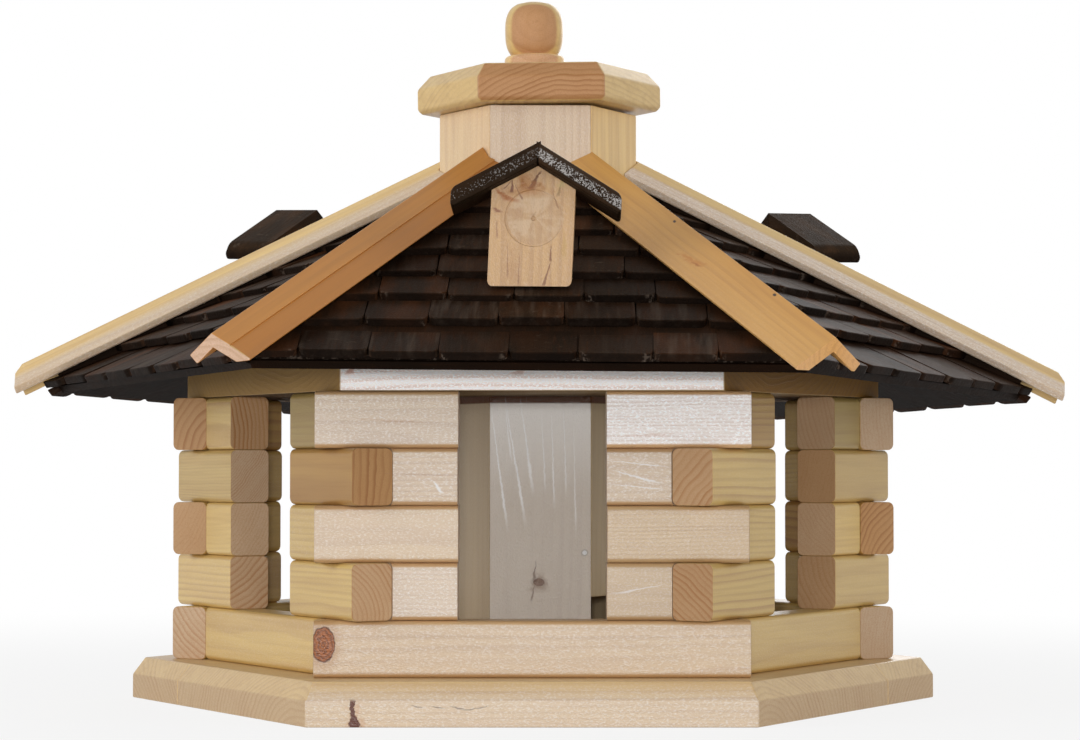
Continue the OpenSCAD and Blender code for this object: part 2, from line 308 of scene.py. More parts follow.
class Recipe:
    # the nodes of one material, or of the world
    def __init__(self, holder):
        holder.use_nodes = True
        self.tree = holder.node_tree
        self.tree.nodes.clear()

    def add(self, kind, settings=None, sockets=None, out=0):
        node = self.tree.nodes.new(kind)
        for key, value in (settings or {}).items():
            setattr(node, key, value)
        for key, value in (sockets or {}).items():
            socket = node.inputs[key]
            if isinstance(value, Wire):
                self.tree.links.new(value.socket, socket)
            elif socket.type == "RGBA":
                socket.default_value = (*value, 1)
            else:
                socket.default_value = value
        return Wire(self, node.outputs[out])

    def here(self, kind="Object"):
        return self.add("ShaderNodeTexCoord", out=kind)

    def attribute(self, name):
        return self.add("ShaderNodeAttribute", {"attribute_name": name}, out="Vector")

    def split(self, vector):
        node = self.add("ShaderNodeSeparateXYZ", None, {0: vector}).socket.node
        return [Wire(self, node.outputs[i]) for i in range(3)]

    def vector(self, x, y, z):
        return self.add("ShaderNodeCombineXYZ", None, {0: x, 1: y, 2: z})

    def noise(self, vector, detail, rough=0.5):
        return self.add("ShaderNodeTexNoise", None, {"Vector": vector, "Scale": 1.0, "Detail": detail,
                                                     "Roughness": rough})

    def grain(self, place, along, across, detail, rough=0.5):
        # a pattern drawn out along the fibres, or an even one where along and across are the same
        size = (along, across, across)
        return self.noise(self.add("ShaderNodeVectorMath", {"operation": "MULTIPLY"}, {0: place, 1: size}),
                          detail, rough)

    def mix(self, amount, first, second, blend="MIX"):
        return self.add("ShaderNodeMix", {"data_type": "RGBA", "blend_type": blend},
                        {0: amount, 6: first, 7: second}, out=2)

    def toned(self, colour, tone):
        grey = (tone,) * 3
        if isinstance(tone, Wire):
            grey = self.add("ShaderNodeCombineColor", None, dict(enumerate(grey)))
        return self.mix(1.0, colour, grey, "MULTIPLY")

    def endMask(self, way, low, high):
        # 1 where the fibres are cut across
        across = self.add("ShaderNodeVectorMath", {"operation": "DOT_PRODUCT"}, {0: self.here("Normal"), 1: way},
                          out="Value")
        return across.size().rise(low, high)

    def bump(self, height, strength, distance, normal=None):
        below = {} if normal is None else {"Normal": normal}
        return self.add("ShaderNodeBump", None,
                        {"Height": height, "Strength": strength, "Distance": distance, **below})

    def done(self, shader, kind="ShaderNodeOutputMaterial"):
        end = self.tree.nodes.new(kind)
        self.tree.links.new(shader.socket, end.inputs["Surface"])

print("finishes")
# how fine each pattern is along and across the fibres, then its detail and roughness
pinePatterns = {"wander": (3.5, 22, 2), "ripple": (16, 120, 2), "fibre": (26, 900, 3, 0.6),
                "streak": (9, 240, 2),
                "pores": (1500, 1500, 1), "cloud": (6, 50, 2), "speck": (620, 1300, 2, 0.65)}
pineLooks = {"pale": (0.66, 0.475, 0.27), "yellow": (0.74, 0.52, 0.2), "orange": (0.56, 0.26, 0.06),
             "late": (0.36, 0.155, 0.045), "clouded": (0.88, 0.8, 0.7), "endGrain": (0.48, 0.285, 0.135),
             "endPale": (0.53, 0.39, 0.26), "endFrom": (0.72, 0.9), "wander": 0.012, "ripple": 0.0016,
             # painted sheen that stands for the front lamp's reflection: its strength, its tint, its tint where
             # it is thick, its tint over the rings, its painted bright specks, and the tint of rounded edges
             "milk": 0.5, "veil": (0.72, 0.625, 0.55), "thickVeil": (0.82, 0.81, 0.83),
             "ringVeil": (0.47, 0.31, 0.22),
             "specks": (0.93, 0.92, 0.92), "bareEdge": (0.5, 0.27, 0.12), "thinned": False,
             "rough": 0.36, "sparkle": 0.8, "relief": 0.0004,
             "tree": None, "knots": (), "marks": (), "disc": None, "dusty": None, "frontOf": -0.17}


def grainOf(recipe):
    # what grown() left on the piece
    gap, depth, tone = recipe.split(recipe.attribute("grainLook"))
    warmth, seed, gloss = recipe.split(recipe.attribute("grainTint"))
    return {"place": recipe.attribute("grainPlace"), "way": recipe.attribute("grainWay"), "gap": gap,
            "depth": depth, "tone": tone, "warmth": warmth, "seed": seed, "gloss": gloss}


def withDust(recipe, wood, z, dusty):
    # painted light and shade inside the house: greyer below the ceiling, a painted sheen brightening towards the
    # top, and a painted shadow right under the ceiling
    wood = recipe.mix(z.rise(0.172, 0.186, 0.62, 0.0), wood, dusty["colour"])
    inRoom = z.rise(0.182, 0.186, 1.0, 0.0)
    wood = recipe.mix(z.rise(0.11, 0.176, 0.0, dusty["lifted"]) * inRoom, wood, (0.95, 0.92, 0.88))
    return recipe.mix(z.rise(0.1746, 0.1756) * inRoom, wood, (0.1, 0.026, 0.0))


def withKnots(recipe, wood, outline, front, knots):
    # knots: place, half width and height, colour, dark rings, halo
    x, _, z = recipe.split(outline)
    near = recipe.grain(outline, 300, 300, 1) * 0.25
    for atX, atZ, wide, high, colour, dark, halo in knots:
        dx = (x - atX) / wide
        dz = (z - atZ) / high
        away = (dx * dx + dz * dz).root() + near - 0.12
        inside = away.rise(0.9, 1.0, 1.0, 0.0) * front
        swirl = (away * 3.3 + near * 4).part().rise(0.2, 0.9)
        heartwood = recipe.mix(swirl * 0.6, colour, dark)
        heartwood = recipe.mix(away.rise(0.78, 0.95), heartwood, dark)
        wood = recipe.mix(inside, wood, heartwood)
        wood = recipe.mix(away.rise(1.0, 1.7, 1.0, 0.0) * front * (1 - inside) * 0.35, wood, halo)
    return wood


def withDisc(recipe, wood, outline, front, disc):
    # a drilled round whose turned floor shows the tree another way
    x, _, z = recipe.split(outline)
    dx = x - disc["at"][0]
    dz = z - disc["at"][1]
    inside = (dx * dx + dz * dz).root().rise(disc["radius"] * 0.96, disc["radius"], 1.0, 0.0) * front
    spread = recipe.vector(dx.sum("ARCTAN2", dx, dz) * 1.5, 1.3, (dx * dx + dz * dz).root() * 90)
    rays = recipe.noise(spread, 3, 0.65).rise(0.38, 0.62)
    wood = recipe.mix(inside * (0.2 + rays * 0.5), wood, disc["colour"])
    return recipe.mix(inside * (1 - rays) * 0.3, wood, disc["dark"])


def withMarks(recipe, wood, outline, front, marks):
    # marks: place, half height, half width, slant, colour, softness, strength
    x, _, z = recipe.split(outline)
    ragged = recipe.grain(outline, 260, 260, 3, 0.6) - 0.5
    for atX, atZ, high, wide, slant, colour, soft, strength in marks:
        dz = z - atZ
        middle = x - atX - dz * slant
        widen = dz.rise(-high, high * 0.6, wide, wide * 0.35)
        shown = ((middle + ragged * wide * 1.6).size() / widen).rise(1.1 - soft, 1.1, strength, 0.0)
        shown = shown * dz.size().rise(high * (1 - soft * 0.6), high, 1.0, 0.0)
        wood = recipe.mix(shown * front, wood, colour)
    return wood


def pineFinish(name, **changes):
    looks = {**pineLooks, **changes}
    material = bpy.data.materials.new(name)
    recipe = Recipe(material)
    outline = recipe.here()
    varied = looks["tree"] is None  # otherwise a CAD node, whose fibres run along one axis
    if varied:
        tree = grainOf(recipe)
    else:
        moved = recipe.add("ShaderNodeMapping", None, {"Vector": outline, "Location": looks["tree"]["heart"]})
        tree = {**looks["tree"], "place": moved}
    place, depth, tone, warmth, gloss = (tree[part] for part in ("place", "depth", "tone", "warmth", "gloss"))
    endMask = recipe.endMask(tree["way"], *looks["endFrom"])
    wander, ripple, fibre, streak, pores, cloud, speck = (
        recipe.grain(place, *pattern) for pattern in pinePatterns.values())

    # rings round the heart, with a slow wander along the trunk
    _, across, up = recipe.split(place)
    radius = ((across * across + up * up).root() + (wander - 0.5) * looks["wander"]
              + (ripple - 0.5) * looks["ripple"])
    turns = radius / (tree["gap"] * 0.01)
    where = turns.part()
    ringTone = recipe.noise(recipe.vector(turns.whole() * 0.37, 3.1, 7.7), 1).rise(0.3, 0.7, 0.3, 1.0)
    ring = where.rise(0.35, 0.88) * (1 - where.rise(0.9, 1.0)) * ringTone

    late = looks["late"]
    deep = (warmth - 1.0).most(0.0) if varied else 0.0
    faceColour = recipe.mix(deep, recipe.mix(warmth, looks["pale"], looks["yellow"]), looks["orange"])
    endColour = recipe.mix(deep, recipe.mix(warmth, looks["endPale"], looks["endGrain"]), looks["orange"])
    wood = recipe.mix(endMask, faceColour, endColour)
    wood = recipe.mix(streak.rise(0.4, 0.8) * 0.22 * (1 - endMask), wood, late)
    wood = recipe.mix((ring * depth * (0.62 + endMask * 0.5)).least(1.0), wood, late)
    wood = recipe.mix(fibre.rise(0.4, 0.8) * 0.14, wood, late)
    wood = recipe.mix(cloud.rise(0.3, 0.7) * 0.35, wood, recipe.mix(1.0, wood, looks["clouded"], "MULTIPLY"))
    wood = recipe.mix(endMask * pores.rise(0.45, 0.8) * 0.4, wood, late)

    # painted sheen and painted bright specks, as strong as the piece's gloss-and-sheen value; that value also
    # lowers the roughness below
    veil = gloss * looks["milk"]
    if looks["thinned"]:  # the painted sheen is kept off rounded edges and ends, and rounded edges are tinted darker orange
        rounded = recipe.split(recipe.here("Normal"))[2].size().rise(0.2, 0.55)
        wood = recipe.mix(rounded * gloss.least(1.0) * 0.55, wood, looks["bareEdge"])
        veil = veil * (1 - rounded) * (1 - endMask * 0.85)
    wood = recipe.mix((veil * (0.7 + cloud * 0.6)).least(0.9) if varied else veil, wood, looks["veil"])
    wood = recipe.mix((veil - 0.5).most(0.0) * 0.9 if varied else 0.0, wood, looks["thickVeil"])
    wood = recipe.mix((ring * veil).least(1.0) * 0.4, wood, looks["ringVeil"])
    wood = recipe.mix(speck.rise(0.48, 0.66) * veil * 0.8, wood, looks["specks"])

    _, y, z = recipe.split(outline)
    front = y.rise(looks["frontOf"], looks["frontOf"] + 0.001, 1.0, 0.0)
    if looks["dusty"]:
        wood = withDust(recipe, wood, z, looks["dusty"])
    if looks["knots"]:
        wood = withKnots(recipe, wood, outline, front, looks["knots"])
    if looks["disc"]:
        wood = withDisc(recipe, wood, outline, front, looks["disc"])
    if looks["marks"]:
        wood = withMarks(recipe, wood, outline, front, looks["marks"])
    normal = recipe.bump(ring * 0.6 + fibre * 0.4 * (1 - endMask * 0.5), 0.25, looks["relief"])
    normal = recipe.bump(speck * (0.25 + gloss), looks["sparkle"], looks["relief"], normal)
    roughness = (looks["rough"] + fibre * 0.08 + endMask * 0.16 - gloss * 0.14).least(1.0)
    recipe.done(recipe.add("ShaderNodeBsdfPrincipled", None, {
        "Base Color": recipe.toned(wood, tone), "Roughness": roughness, "Normal": normal,
        "Specular IOR Level": 0.4}))
    return material


stainPatterns = {"fibre": (40, 420, 4, 0.65), "streak": (12, 200, 2, 0.6), "patch": (18, 60, 2)}
stainLooks = {"stain": (0.0188, 0.0103, 0.006), "brown": (0.072, 0.026, 0.01), "pale": (0.13, 0.095, 0.07),
              "end": (0.006, 0.004, 0.003), "crumb": (0.3, 0.23, 0.18), "fleck": (0.4, 0.38, 0.365),
              "rough": 0.5, "shine": 0.024, "sparkle": 0.5, "flecked": False, "tree": None}


def wornCorners(recipe, wood, outline, tree, crumb):
    # painted glints where the lower corners catch the light
    along, across, _ = recipe.split(tree["place"])
    corner = (along - tree["seed"]).rise(0.0012, 0.004, 1.0, 0.0) * across.size().rise(0.0125, 0.0155)
    crumbs = recipe.grain(outline, 420, 420, 2, 0.6).rise(0.5, 0.62)
    some = recipe.noise(recipe.vector(tree["seed"] * 3.7, 1.9, 4.3), 0).rise(0.45, 0.6)
    return recipe.mix(corner * crumbs * some * 0.2, wood, crumb)


def withFlecks(recipe, wood, outline, tree, fleck):
    # painted glints: bright flecks in a band of the board
    _, _, off = recipe.split(tree["place"])
    gloss = tree["gloss"]
    spots = recipe.grain(outline, 1150, 1150, 1, 0.6)
    gather = recipe.grain(outline, 60, 60, 2)
    band = off.rise(-0.0078, -0.0066) * off.rise(-0.0032, -0.0018, 1.0, 0.0) * gloss
    lit = (spots + (gather - 0.5) * 0.4 + gloss * 0.13).rise(0.58, 0.72)
    return recipe.mix(lit * (band * 1.5).least(1.0), wood, fleck)


def stainFinish(name, **changes):
    looks = {**stainLooks, **changes}
    material = bpy.data.materials.new(name)
    recipe = Recipe(material)
    outline = recipe.here()
    tree = looks["tree"] or grainOf(recipe)
    place = tree.get("place", outline)
    fibre, streak, patch = (recipe.grain(place, *pattern) for pattern in stainPatterns.values())
    wood = recipe.mix(patch.rise(0.35, 0.7) * tree["warmth"], looks["stain"], looks["brown"])
    wood = recipe.mix(fibre.rise(0.5, 0.78) * 0.4, wood, looks["brown"])
    if not looks["tree"]:
        # painted sheen streaks, as strong as the piece's gloss-and-sheen value
        wood = recipe.mix(streak.rise(0.45, 0.75) * tree["gloss"] * 0.36, wood, looks["pale"])
        worn = recipe.grain(outline, 190, 190, 3, 0.65).rise(0.6, 0.72)  # rubbed through
        wood = recipe.mix(worn * tree["depth"], wood, looks["pale"])
        # end-grain faces made near black; on the shingles' butts this is painted shade
        wood = recipe.mix(recipe.endMask(tree["way"], 0.5, 0.8) * 0.75, wood, looks["end"])
    wood = recipe.toned(wood, tree["tone"])
    if looks["flecked"]:
        wood = withFlecks(recipe, wood, outline, tree, looks["fleck"])
    elif not looks["tree"]:
        wood = wornCorners(recipe, wood, outline, tree, looks["crumb"])
    normal = recipe.bump(fibre, 0.5, 0.0008)
    normal = recipe.bump(recipe.grain(outline, 900, 900, 2, 0.6), looks["sparkle"], 0.0006, normal)
    recipe.done(recipe.add("ShaderNodeBsdfPrincipled", None, {
        "Base Color": wood, "Roughness": looks["rough"] + (fibre - 0.5) * 0.2, "Normal": normal,
        "Specular IOR Level": looks["shine"]}))
    return material


# pale streaks and stains of the front logs
logMarks = [
    (0.056, 0.1397, 0.0019, 0.0055, -9.1, (0.86, 0.84, 0.84), 0.9, 0.8),
    (0.056, 0.1326, 0.0043, 0.0042, -3.6, (0.86, 0.84, 0.84), 0.9, 0.8),
    (0.0565, 0.1272, 0.0018, 0.007, -9.6, (0.86, 0.84, 0.84), 0.9, 0.7),
    (0.0575, 0.0719, 0.003, 0.005, 5.1, (0.84, 0.8, 0.78), 0.9, 0.7),
    (-0.051, 0.1268, 0.0042, 0.0018, -0.75, (0.88, 0.87, 0.87), 0.9, 0.8),
    (-0.0586, 0.1338, 0.0009, 0.021, -22.0, (0.42, 0.24, 0.16), 0.9, 0.45),
    (-0.078, 0.163, 0.0016, 0.02, -14.0, (0.5, 0.27, 0.16), 0.9, 0.35),
    (0.064, 0.1552, 0.0011, 0.02, 9.0, (0.5, 0.3, 0.2), 0.9, 0.4)]
logPine = pineFinish("pineLog", yellow=(0.7, 0.493, 0.163), thinned=True, marks=logMarks)
frontSillPine = pineFinish("pineFrontSill", thinned=True, knots=[
    (-0.1127, 0.0422, 0.007, 0.0104, (0.37, 0.115, 0.028), (0.07, 0.018, 0.006), (0.42, 0.2, 0.08))])

boardPine = pineFinish("pineBoard", sparkle=0.5, endGrain=(0.56, 0.39, 0.185))
# a halo and the dark split in it, and scratches: place, half height, half width, slant
floorSplit = [(-0.0935, 0.005, 0.0105, 0.009, 0.0, (0.56, 0.3, 0.15), 1.0, 0.5),
              (-0.0945, 0.006, 0.0095, 0.0036, -0.12, (0.11, 0.03, 0.014), 0.4, 1.0)]
floorScratches = [(-0.0615, 0.0112, 0.0009, 0.0028, -4.0), (-0.0505, 0.0108, 0.0008, 0.0034, -5.0),
                  (-0.0395, 0.0104, 0.0011, 0.0042, -4.0), (-0.0315, 0.0097, 0.0008, 0.0036, 5.0),
                  (-0.0262, 0.0108, 0.001, 0.0024, 4.0)]
frontFloorPine = pineFinish("pineFrontFloor", sparkle=0.7, endGrain=(0.56, 0.39, 0.185), frontOf=-0.2,
                            marks=floorSplit + [(*mark, (0.24, 0.19, 0.15), 0.9, 0.8) for mark in floorScratches])

ceilingPine = pineFinish(
    "pineCeiling", sparkle=1.0, milk=1.0, rough=0.34, pale=(0.8, 0.66, 0.5), late=(0.2, 0.1, 0.03),
    endGrain=(0.4, 0.18, 0.005), endPale=(0.33, 0.19, 0.045), endFrom=(0.5, 0.8), marks=[
        (-0.098, 0.191, 0.004, 0.004, 0.4, (0.42, 0.16, 0.08), 1.0, 0.7),
        (-0.006, 0.19, 0.003, 0.006, 1.5, (0.4, 0.2, 0.12), 1.0, 0.5)])
curbPine = pineFinish("pineCurb", tree={"heart": (0.3, 0.02, -0.25), "way": (1, 0, 0), "gap": 0.3, "depth": 0.4,
                                        "tone": 0.9, "warmth": 0.8, "gloss": 0.3})

# painted shade inside the house on the silo's other boards
siloPine = pineFinish("siloPine", dusty={"colour": (0.3, 0.26, 0.2), "lifted": 0.0})
# painted highlights, light streaks of the silo's front board: place, half height, half width, slant, strength
siloStreaks = [
    (-0.0196, 0.137, 0.04, 0.0011, -0.133, 0.85), (-0.0101, 0.1404, 0.04, 0.0013, -0.161, 0.85),
    (-0.0034, 0.149, 0.03, 0.0013, -0.14, 0.8), (0.0062, 0.147, 0.027, 0.0008, -0.05, 0.6),
    (0.0117, 0.143, 0.033, 0.0009, -0.03, 0.65), (0.0187, 0.147, 0.029, 0.0008, -0.03, 0.6),
    (0.0245, 0.131, 0.037, 0.0008, -0.02, 0.5), (-0.0142, 0.157, 0.019, 0.0009, -0.12, 0.7)]
knotShade = [(0.0036, 0.0707, 0.007, 0.009, 0.0, (0.34, 0.23, 0.16), 1.0, 0.55),
             (0.0012, 0.077, 0.0075, 0.0014, 0.1, (0.17, 0.1, 0.07), 1.0, 0.75),
             (0.0002, 0.0645, 0.006, 0.0012, 0.2, (0.2, 0.12, 0.08), 1.0, 0.7)]
# the second of these is a nail head, painted white as its highlight, with a painted shadow round it
siloKnots = [(0.0036, 0.0707, 0.0034, 0.0024, (0.17, 0.07, 0.04), (0.04, 0.018, 0.012), (0.2, 0.11, 0.075)),
             (0.0302, 0.0879, 0.0015, 0.0015, (0.9, 0.9, 0.9), (0.5, 0.49, 0.47), (0.16, 0.13, 0.1))]  # a nail
# the silo's front board: painted light inside the house, painted highlight streaks, and a nail head painted with
# its highlight
siloFrontPine = pineFinish(
    "siloFrontPine", milk=0.22, pale=(0.7, 0.54, 0.38), dusty={"colour": (0.64, 0.595, 0.54), "lifted": 0.75},
    frontOf=-0.02, knots=siloKnots,
    marks=[(*streak[:5], (1.0, 0.99, 0.98), 0.9, streak[5]) for streak in siloStreaks] + knotShade)

nailLook = ((0.06, 0.03, 0.015), (0.04, 0.02, 0.01), (0.35, 0.17, 0.06))
stripPine = pineFinish(
    "stripPine", sparkle=0.5, orange=(0.6, 0.3, 0.07), endGrain=(0.74, 0.52, 0.36), endPale=(0.76, 0.6, 0.46),
    frontOf=-0.05,
    knots=[(0.0789, 0.2742, 0.0008, 0.0008, *nailLook), (0.1274, 0.2282, 0.0009, 0.0008, *nailLook)],
    marks=[(0.0862, 0.2505, 0.005, 0.0062, -1.5, (0.5, 0.2, 0.045), 1.0, 0.75),
           (0.089, 0.2475, 0.0018, 0.0024, -1.2, (0.36, 0.12, 0.03), 1.0, 0.8)])
stripPineWarm = pineFinish("stripPineWarm", sparkle=0.4, orange=(0.53, 0.2, 0.028), endGrain=(0.66, 0.42, 0.27),
                           endPale=(0.68, 0.46, 0.32))

# stains and cracks of the gable
gableMarks = [
    (-0.003, 0.2905, 0.0085, 0.018, 0.0, (0.42, 0.19, 0.055), 1.0, 0.8),
    (-0.0075, 0.2865, 0.005, 0.0008, -0.5, (0.26, 0.11, 0.05), 0.6, 0.8),
    (-0.013, 0.2905, 0.003, 0.0007, 0.9, (0.24, 0.1, 0.045), 0.6, 0.8),
    (0.0125, 0.282, 0.0055, 0.0007, -0.35, (0.3, 0.15, 0.07), 0.6, 0.75),
    (0.0015, 0.2745, 0.0014, 0.0016, 0.5, (0.4, 0.24, 0.13), 1.0, 0.6),
    (-0.0152, 0.2847, 0.0048, 0.0054, -1.4, (0.36, 0.125, 0.03), 1.0, 0.95),
    (-0.0109, 0.2895, 0.0042, 0.0011, 0.0, (0.2, 0.075, 0.035), 0.6, 1.0),
    (-0.0046, 0.2912, 0.0038, 0.0038, 0.1, (0.35, 0.135, 0.03), 1.0, 0.95),
    (0.0021, 0.2933, 0.0052, 0.0022, 0.62, (0.15, 0.05, 0.012), 0.7, 0.95),
    (0.0002, 0.29, 0.0034, 0.0054, 0.35, (0.26, 0.09, 0.018), 1.0, 1.0),
    (0.0148, 0.2875, 0.0044, 0.0013, 0.25, (0.34, 0.2, 0.08), 0.8, 0.95),
    (0.0162, 0.292, 0.0045, 0.0029, 0.2, (0.5, 0.4, 0.15), 1.0, 0.5),
    (0.0099, 0.2527, 0.0048, 0.0008, 0.02, (0.27, 0.13, 0.065), 0.5, 1.0),
    (0.0078, 0.2414, 0.0072, 0.001, 0.3, (0.27, 0.13, 0.065), 0.5, 1.0),
    (-0.0133, 0.249, 0.0105, 0.0006, 0.0, (0.36, 0.19, 0.1), 0.6, 0.95),
    (-0.0072, 0.244, 0.0095, 0.0006, 0.03, (0.36, 0.19, 0.1), 0.6, 0.95),
    (-0.0104, 0.247, 0.0125, 0.0054, 0.0, (0.44, 0.24, 0.115), 1.0, 0.45),
    (-0.0192, 0.2765, 0.0018, 0.0038, -0.6, (0.26, 0.1, 0.045), 1.0, 0.95),
    (-0.019, 0.266, 0.006, 0.0011, 0.0, (0.34, 0.17, 0.09), 0.8, 0.7),
    (0.0172, 0.2575, 0.0095, 0.0026, 0.0, (0.5, 0.31, 0.1), 1.0, 0.6)]
gablePine = pineFinish("gablePine", sparkle=1.0, milk=0.18, pale=(0.6, 0.365, 0.16), late=(0.28, 0.11, 0.035),
                       frontOf=-0.15, marks=gableMarks, disc={"at": (0.0018, 0.2722), "radius": 0.0155,
                                                              "colour": (0.6, 0.44, 0.29),
                                                              "dark": (0.36, 0.2, 0.1)})
lidPine = pineFinish("lidPine", sparkle=0.4, milk=0.2, endGrain=(0.52, 0.27, 0.115), endFrom=(0.55, 0.7))
stainedShingle = stainFinish("stainedShingle")
stainedBoard = stainFinish("stainedBoard", stain=(0.026, 0.016, 0.0095), brown=(0.085, 0.042, 0.02), shine=0.015,
                           sparkle=0.6, flecked=True)
stainedBoarding = stainFinish("stainedBoarding", tree={"tone": 0.4, "warmth": 0.2})

print("floor")
floorPlan = {"side": 0.24, "thickness": 0.024, "edge": 0.014, "bevel": 0.0065, "softened": 0.0008,
             "faceFrom": 0.2074,  # the front edge, given a painted sheen
             # where each board starts and ends, the heart of its tree, its ring gap, ring depth and finish
             "boards": {"Front": (None, -0.059, (0, -0.2, -0.024), 0.0034, 0.42, frontFloorPine),
                        "Middle": (-0.059, 0.09, (0, 0.03, -0.05), 0.0031, 0.4, boardPine),
                        "Back": (0.09, None, (0, 0.14, 0.07), 0.0036, 0.45, boardPine)}}


def addBevelledSlab(name, plan):
    # six-sided, with its upper edge bevelled all round
    slab = addSixSided(name, plan["side"], plan["edge"], 0)
    narrow = 1 - plan["bevel"] / (plan["side"] * math.cos(halfSixth))
    pulledOut(slab, lambda f: f.normal.z > 0.9, (0, 0, plan["thickness"] - plan["edge"]), (narrow, narrow, 1))
    return slab


def makeFloor(plan):
    slab = addBevelledSlab("floorSlab", plan)
    for name, (start, end, heart, gap, depth, finish) in plan["boards"].items():
        board = copyOf(slab, f"floorBoard{name}")
        for joint, outward in ((start, -northSouth), (end, northSouth)):
            if joint is not None:
                cutOff(board, northSouth * joint, outward)
        soften(board, plan["softened"], 2, 20)
        smooth(board)
        grown(board, eastWest, upright, heart, gap, depth, 1.0, 0.55, 0.15)
        # painted sheen on the front edge, which also gets a lower roughness
        retinted(board, lambda c: c.y < -plan["faceFrom"], 1.0, 0.3, 0.85)
        finished(board, "house", finish, f"floor_board_{name.lower()}")
    removed(slab)


makeFloor(floorPlan)

print("log walls")
wallPlan = {"reach": 0.18, "thickness": 0.0245, "height": 0.031, "length": 0.1, "edge": 0.0035,
            "endEdge": 0.0006, "floorTop": 0.024, "courses": 4, "doorHalf": 0.04,
            "looseness": 0.3, "doorLooseness": (-0.2, 0.5),  # how much the logs' places differ (mm)
            "endLooseness": 0.8, "dimmedInside": (2, 4)}
# heart outwards and upwards and ring gap (mm), ring depth, tone, warmth, gloss and painted sheen, tone and warmth
# of the ends
# the low tones of the top courses on the slanted front walls are painted shade under the eave; the high tone and
# gloss-and-sheen of the top right front log paint its highlight
logTrees = {
    ("front", 0, 0): (52, -34, 3.4, 0.35, 0.97, 0.15, 0.8),
    ("front", 1, -1): (20, 60, 2.6, 0.25, 1.04, 0.0, 1.15),
    ("front", 2, -1): (70, 8, 3.0, 0.2, 1.0, 0.05, 0.85),
    ("front", 3, -1): (24, 52, 3.2, 0.45, 1.0, 0.0, 1.0),
    ("front", 4, -1): (60, -20, 3.0, 0.22, 1.0, 0.08, 1.1),
    ("front", 1, 1): (50, 16, 4.2, 0.3, 0.84, 0.05, 0.6),
    ("front", 2, 1): (16, -58, 2.2, 0.5, 0.89, 0.15, 0.55),
    ("front", 3, 1): (34, 30, 3.6, 0.45, 0.93, 0.0, 0.95),
    ("front", 4, 1): (4, 64, 2.0, 0.6, 1.24, 0.0, 2.1),
    ("front_left", 0, 0): (44, 12, 4.6, 0.45, 1.0, 1.0, 0.2),
    ("front_right", 0, 0): (70, 12, 3.2, 0.2, 0.94, 1.0, 0.2),
    ("front_left", 3, 1): (150, 8, 4.0, 1.25, 0.7, 1.6, 0.0, 0.84, 1.4),
    ("front_left", 1, 1): (30, -16, 2.7, 0.65, 0.93, 1.02, 0.15, 1.08, 0.7),
    ("front_left", 4, 1): (40, 20, 3.0, 0.3, 0.53, 1.05, 0.05),
    ("front_left", 2, 1): (12, 42, 3.4, 0.55, 0.9, 0.95, 0.2),
    ("front_left", 4, -1): (58, -6, 2.9, 0.9, 0.95, 0.9, 0.1),
    ("front_left", 3, -1): (66, 60, 1.3, 0.5, 0.8, 0.9, 0.1, 1.08, 0.1),
    ("front_left", 2, -1): (70, 44, 1.9, 0.25, 1.0, 0.9, 0.1, 1.22, 0.15),
    ("front_left", 1, -1): (26, 34, 3.3, 0.8, 1.0, 1.0, 0.2, 1.22, 0.4),
    ("front_right", 3, -1): (105, -95, 3.8, 0.8, 0.92, 0.95, 0.1, 0.96, 0.9),
    ("front_right", 1, -1): (-60, -78, 3.0, 0.85, 0.87, 1.0, 0.1, 0.87, 1.0),
    ("front_right", 4, -1): (14, 22, 3.6, 0.9, 0.72, 1.4, 0.05),
    ("front_right", 2, -1): (8, -50, 3.3, 0.6, 0.89, 0.95, 0.1),
    ("front_right", 4, 1): (76, 20, 2.6, 0.3, 0.6, 1.0, 0.0, 0.84, 0.5),
    ("front_right", 3, 1): (90, -30, 2.4, 0.15, 0.82, 1.15, 0.1, 0.86, 1.1),
    ("front_right", 2, 1): (60, 50, 2.2, 0.2, 1.05, 0.95, 0.1, 1.03, 0.5),
    ("front_right", 1, 1): (44, 18, 3.4, 0.4, 0.92, 0.9, 0.1),
    ("back_left", 4, 1): (-26, -20, 4.6, 1.0, 0.93, 1.25, 0.1, 0.85, 1.25),
    ("back_left", 2, 1): (60, 44, 2.4, 0.2, 1.0, 0.9, 0.1),
    ("back_left", 0, 0): (-40, 40, 3.2, 0.5, 1.0, 0.8, 0.1, 1.08, 0.2),
    ("back_right", 0, 0): (80, -10, 2.2, 0.2, 0.95, 0.8, 0.1, 0.98, 0.1),
    ("back_right", 4, -1): (90, 10, 2.4, 0.25, 0.97, 0.7, 0.2, 0.97, 0.2),
    ("back_right", 2, -1): (36, -36, 3.3, 1.0, 0.95, 1.3, 0.1)}


def makeMasterLog(plan):
    log = addBlock("masterLog", (plan["length"], plan["thickness"], plan["height"]))
    bevelled(log, plan["edge"], 4, lambda e: abs(edgeWay(log, e).x) > 0.9)
    soften(log, plan["endEdge"], 2, 50)
    return smooth(log, 40)


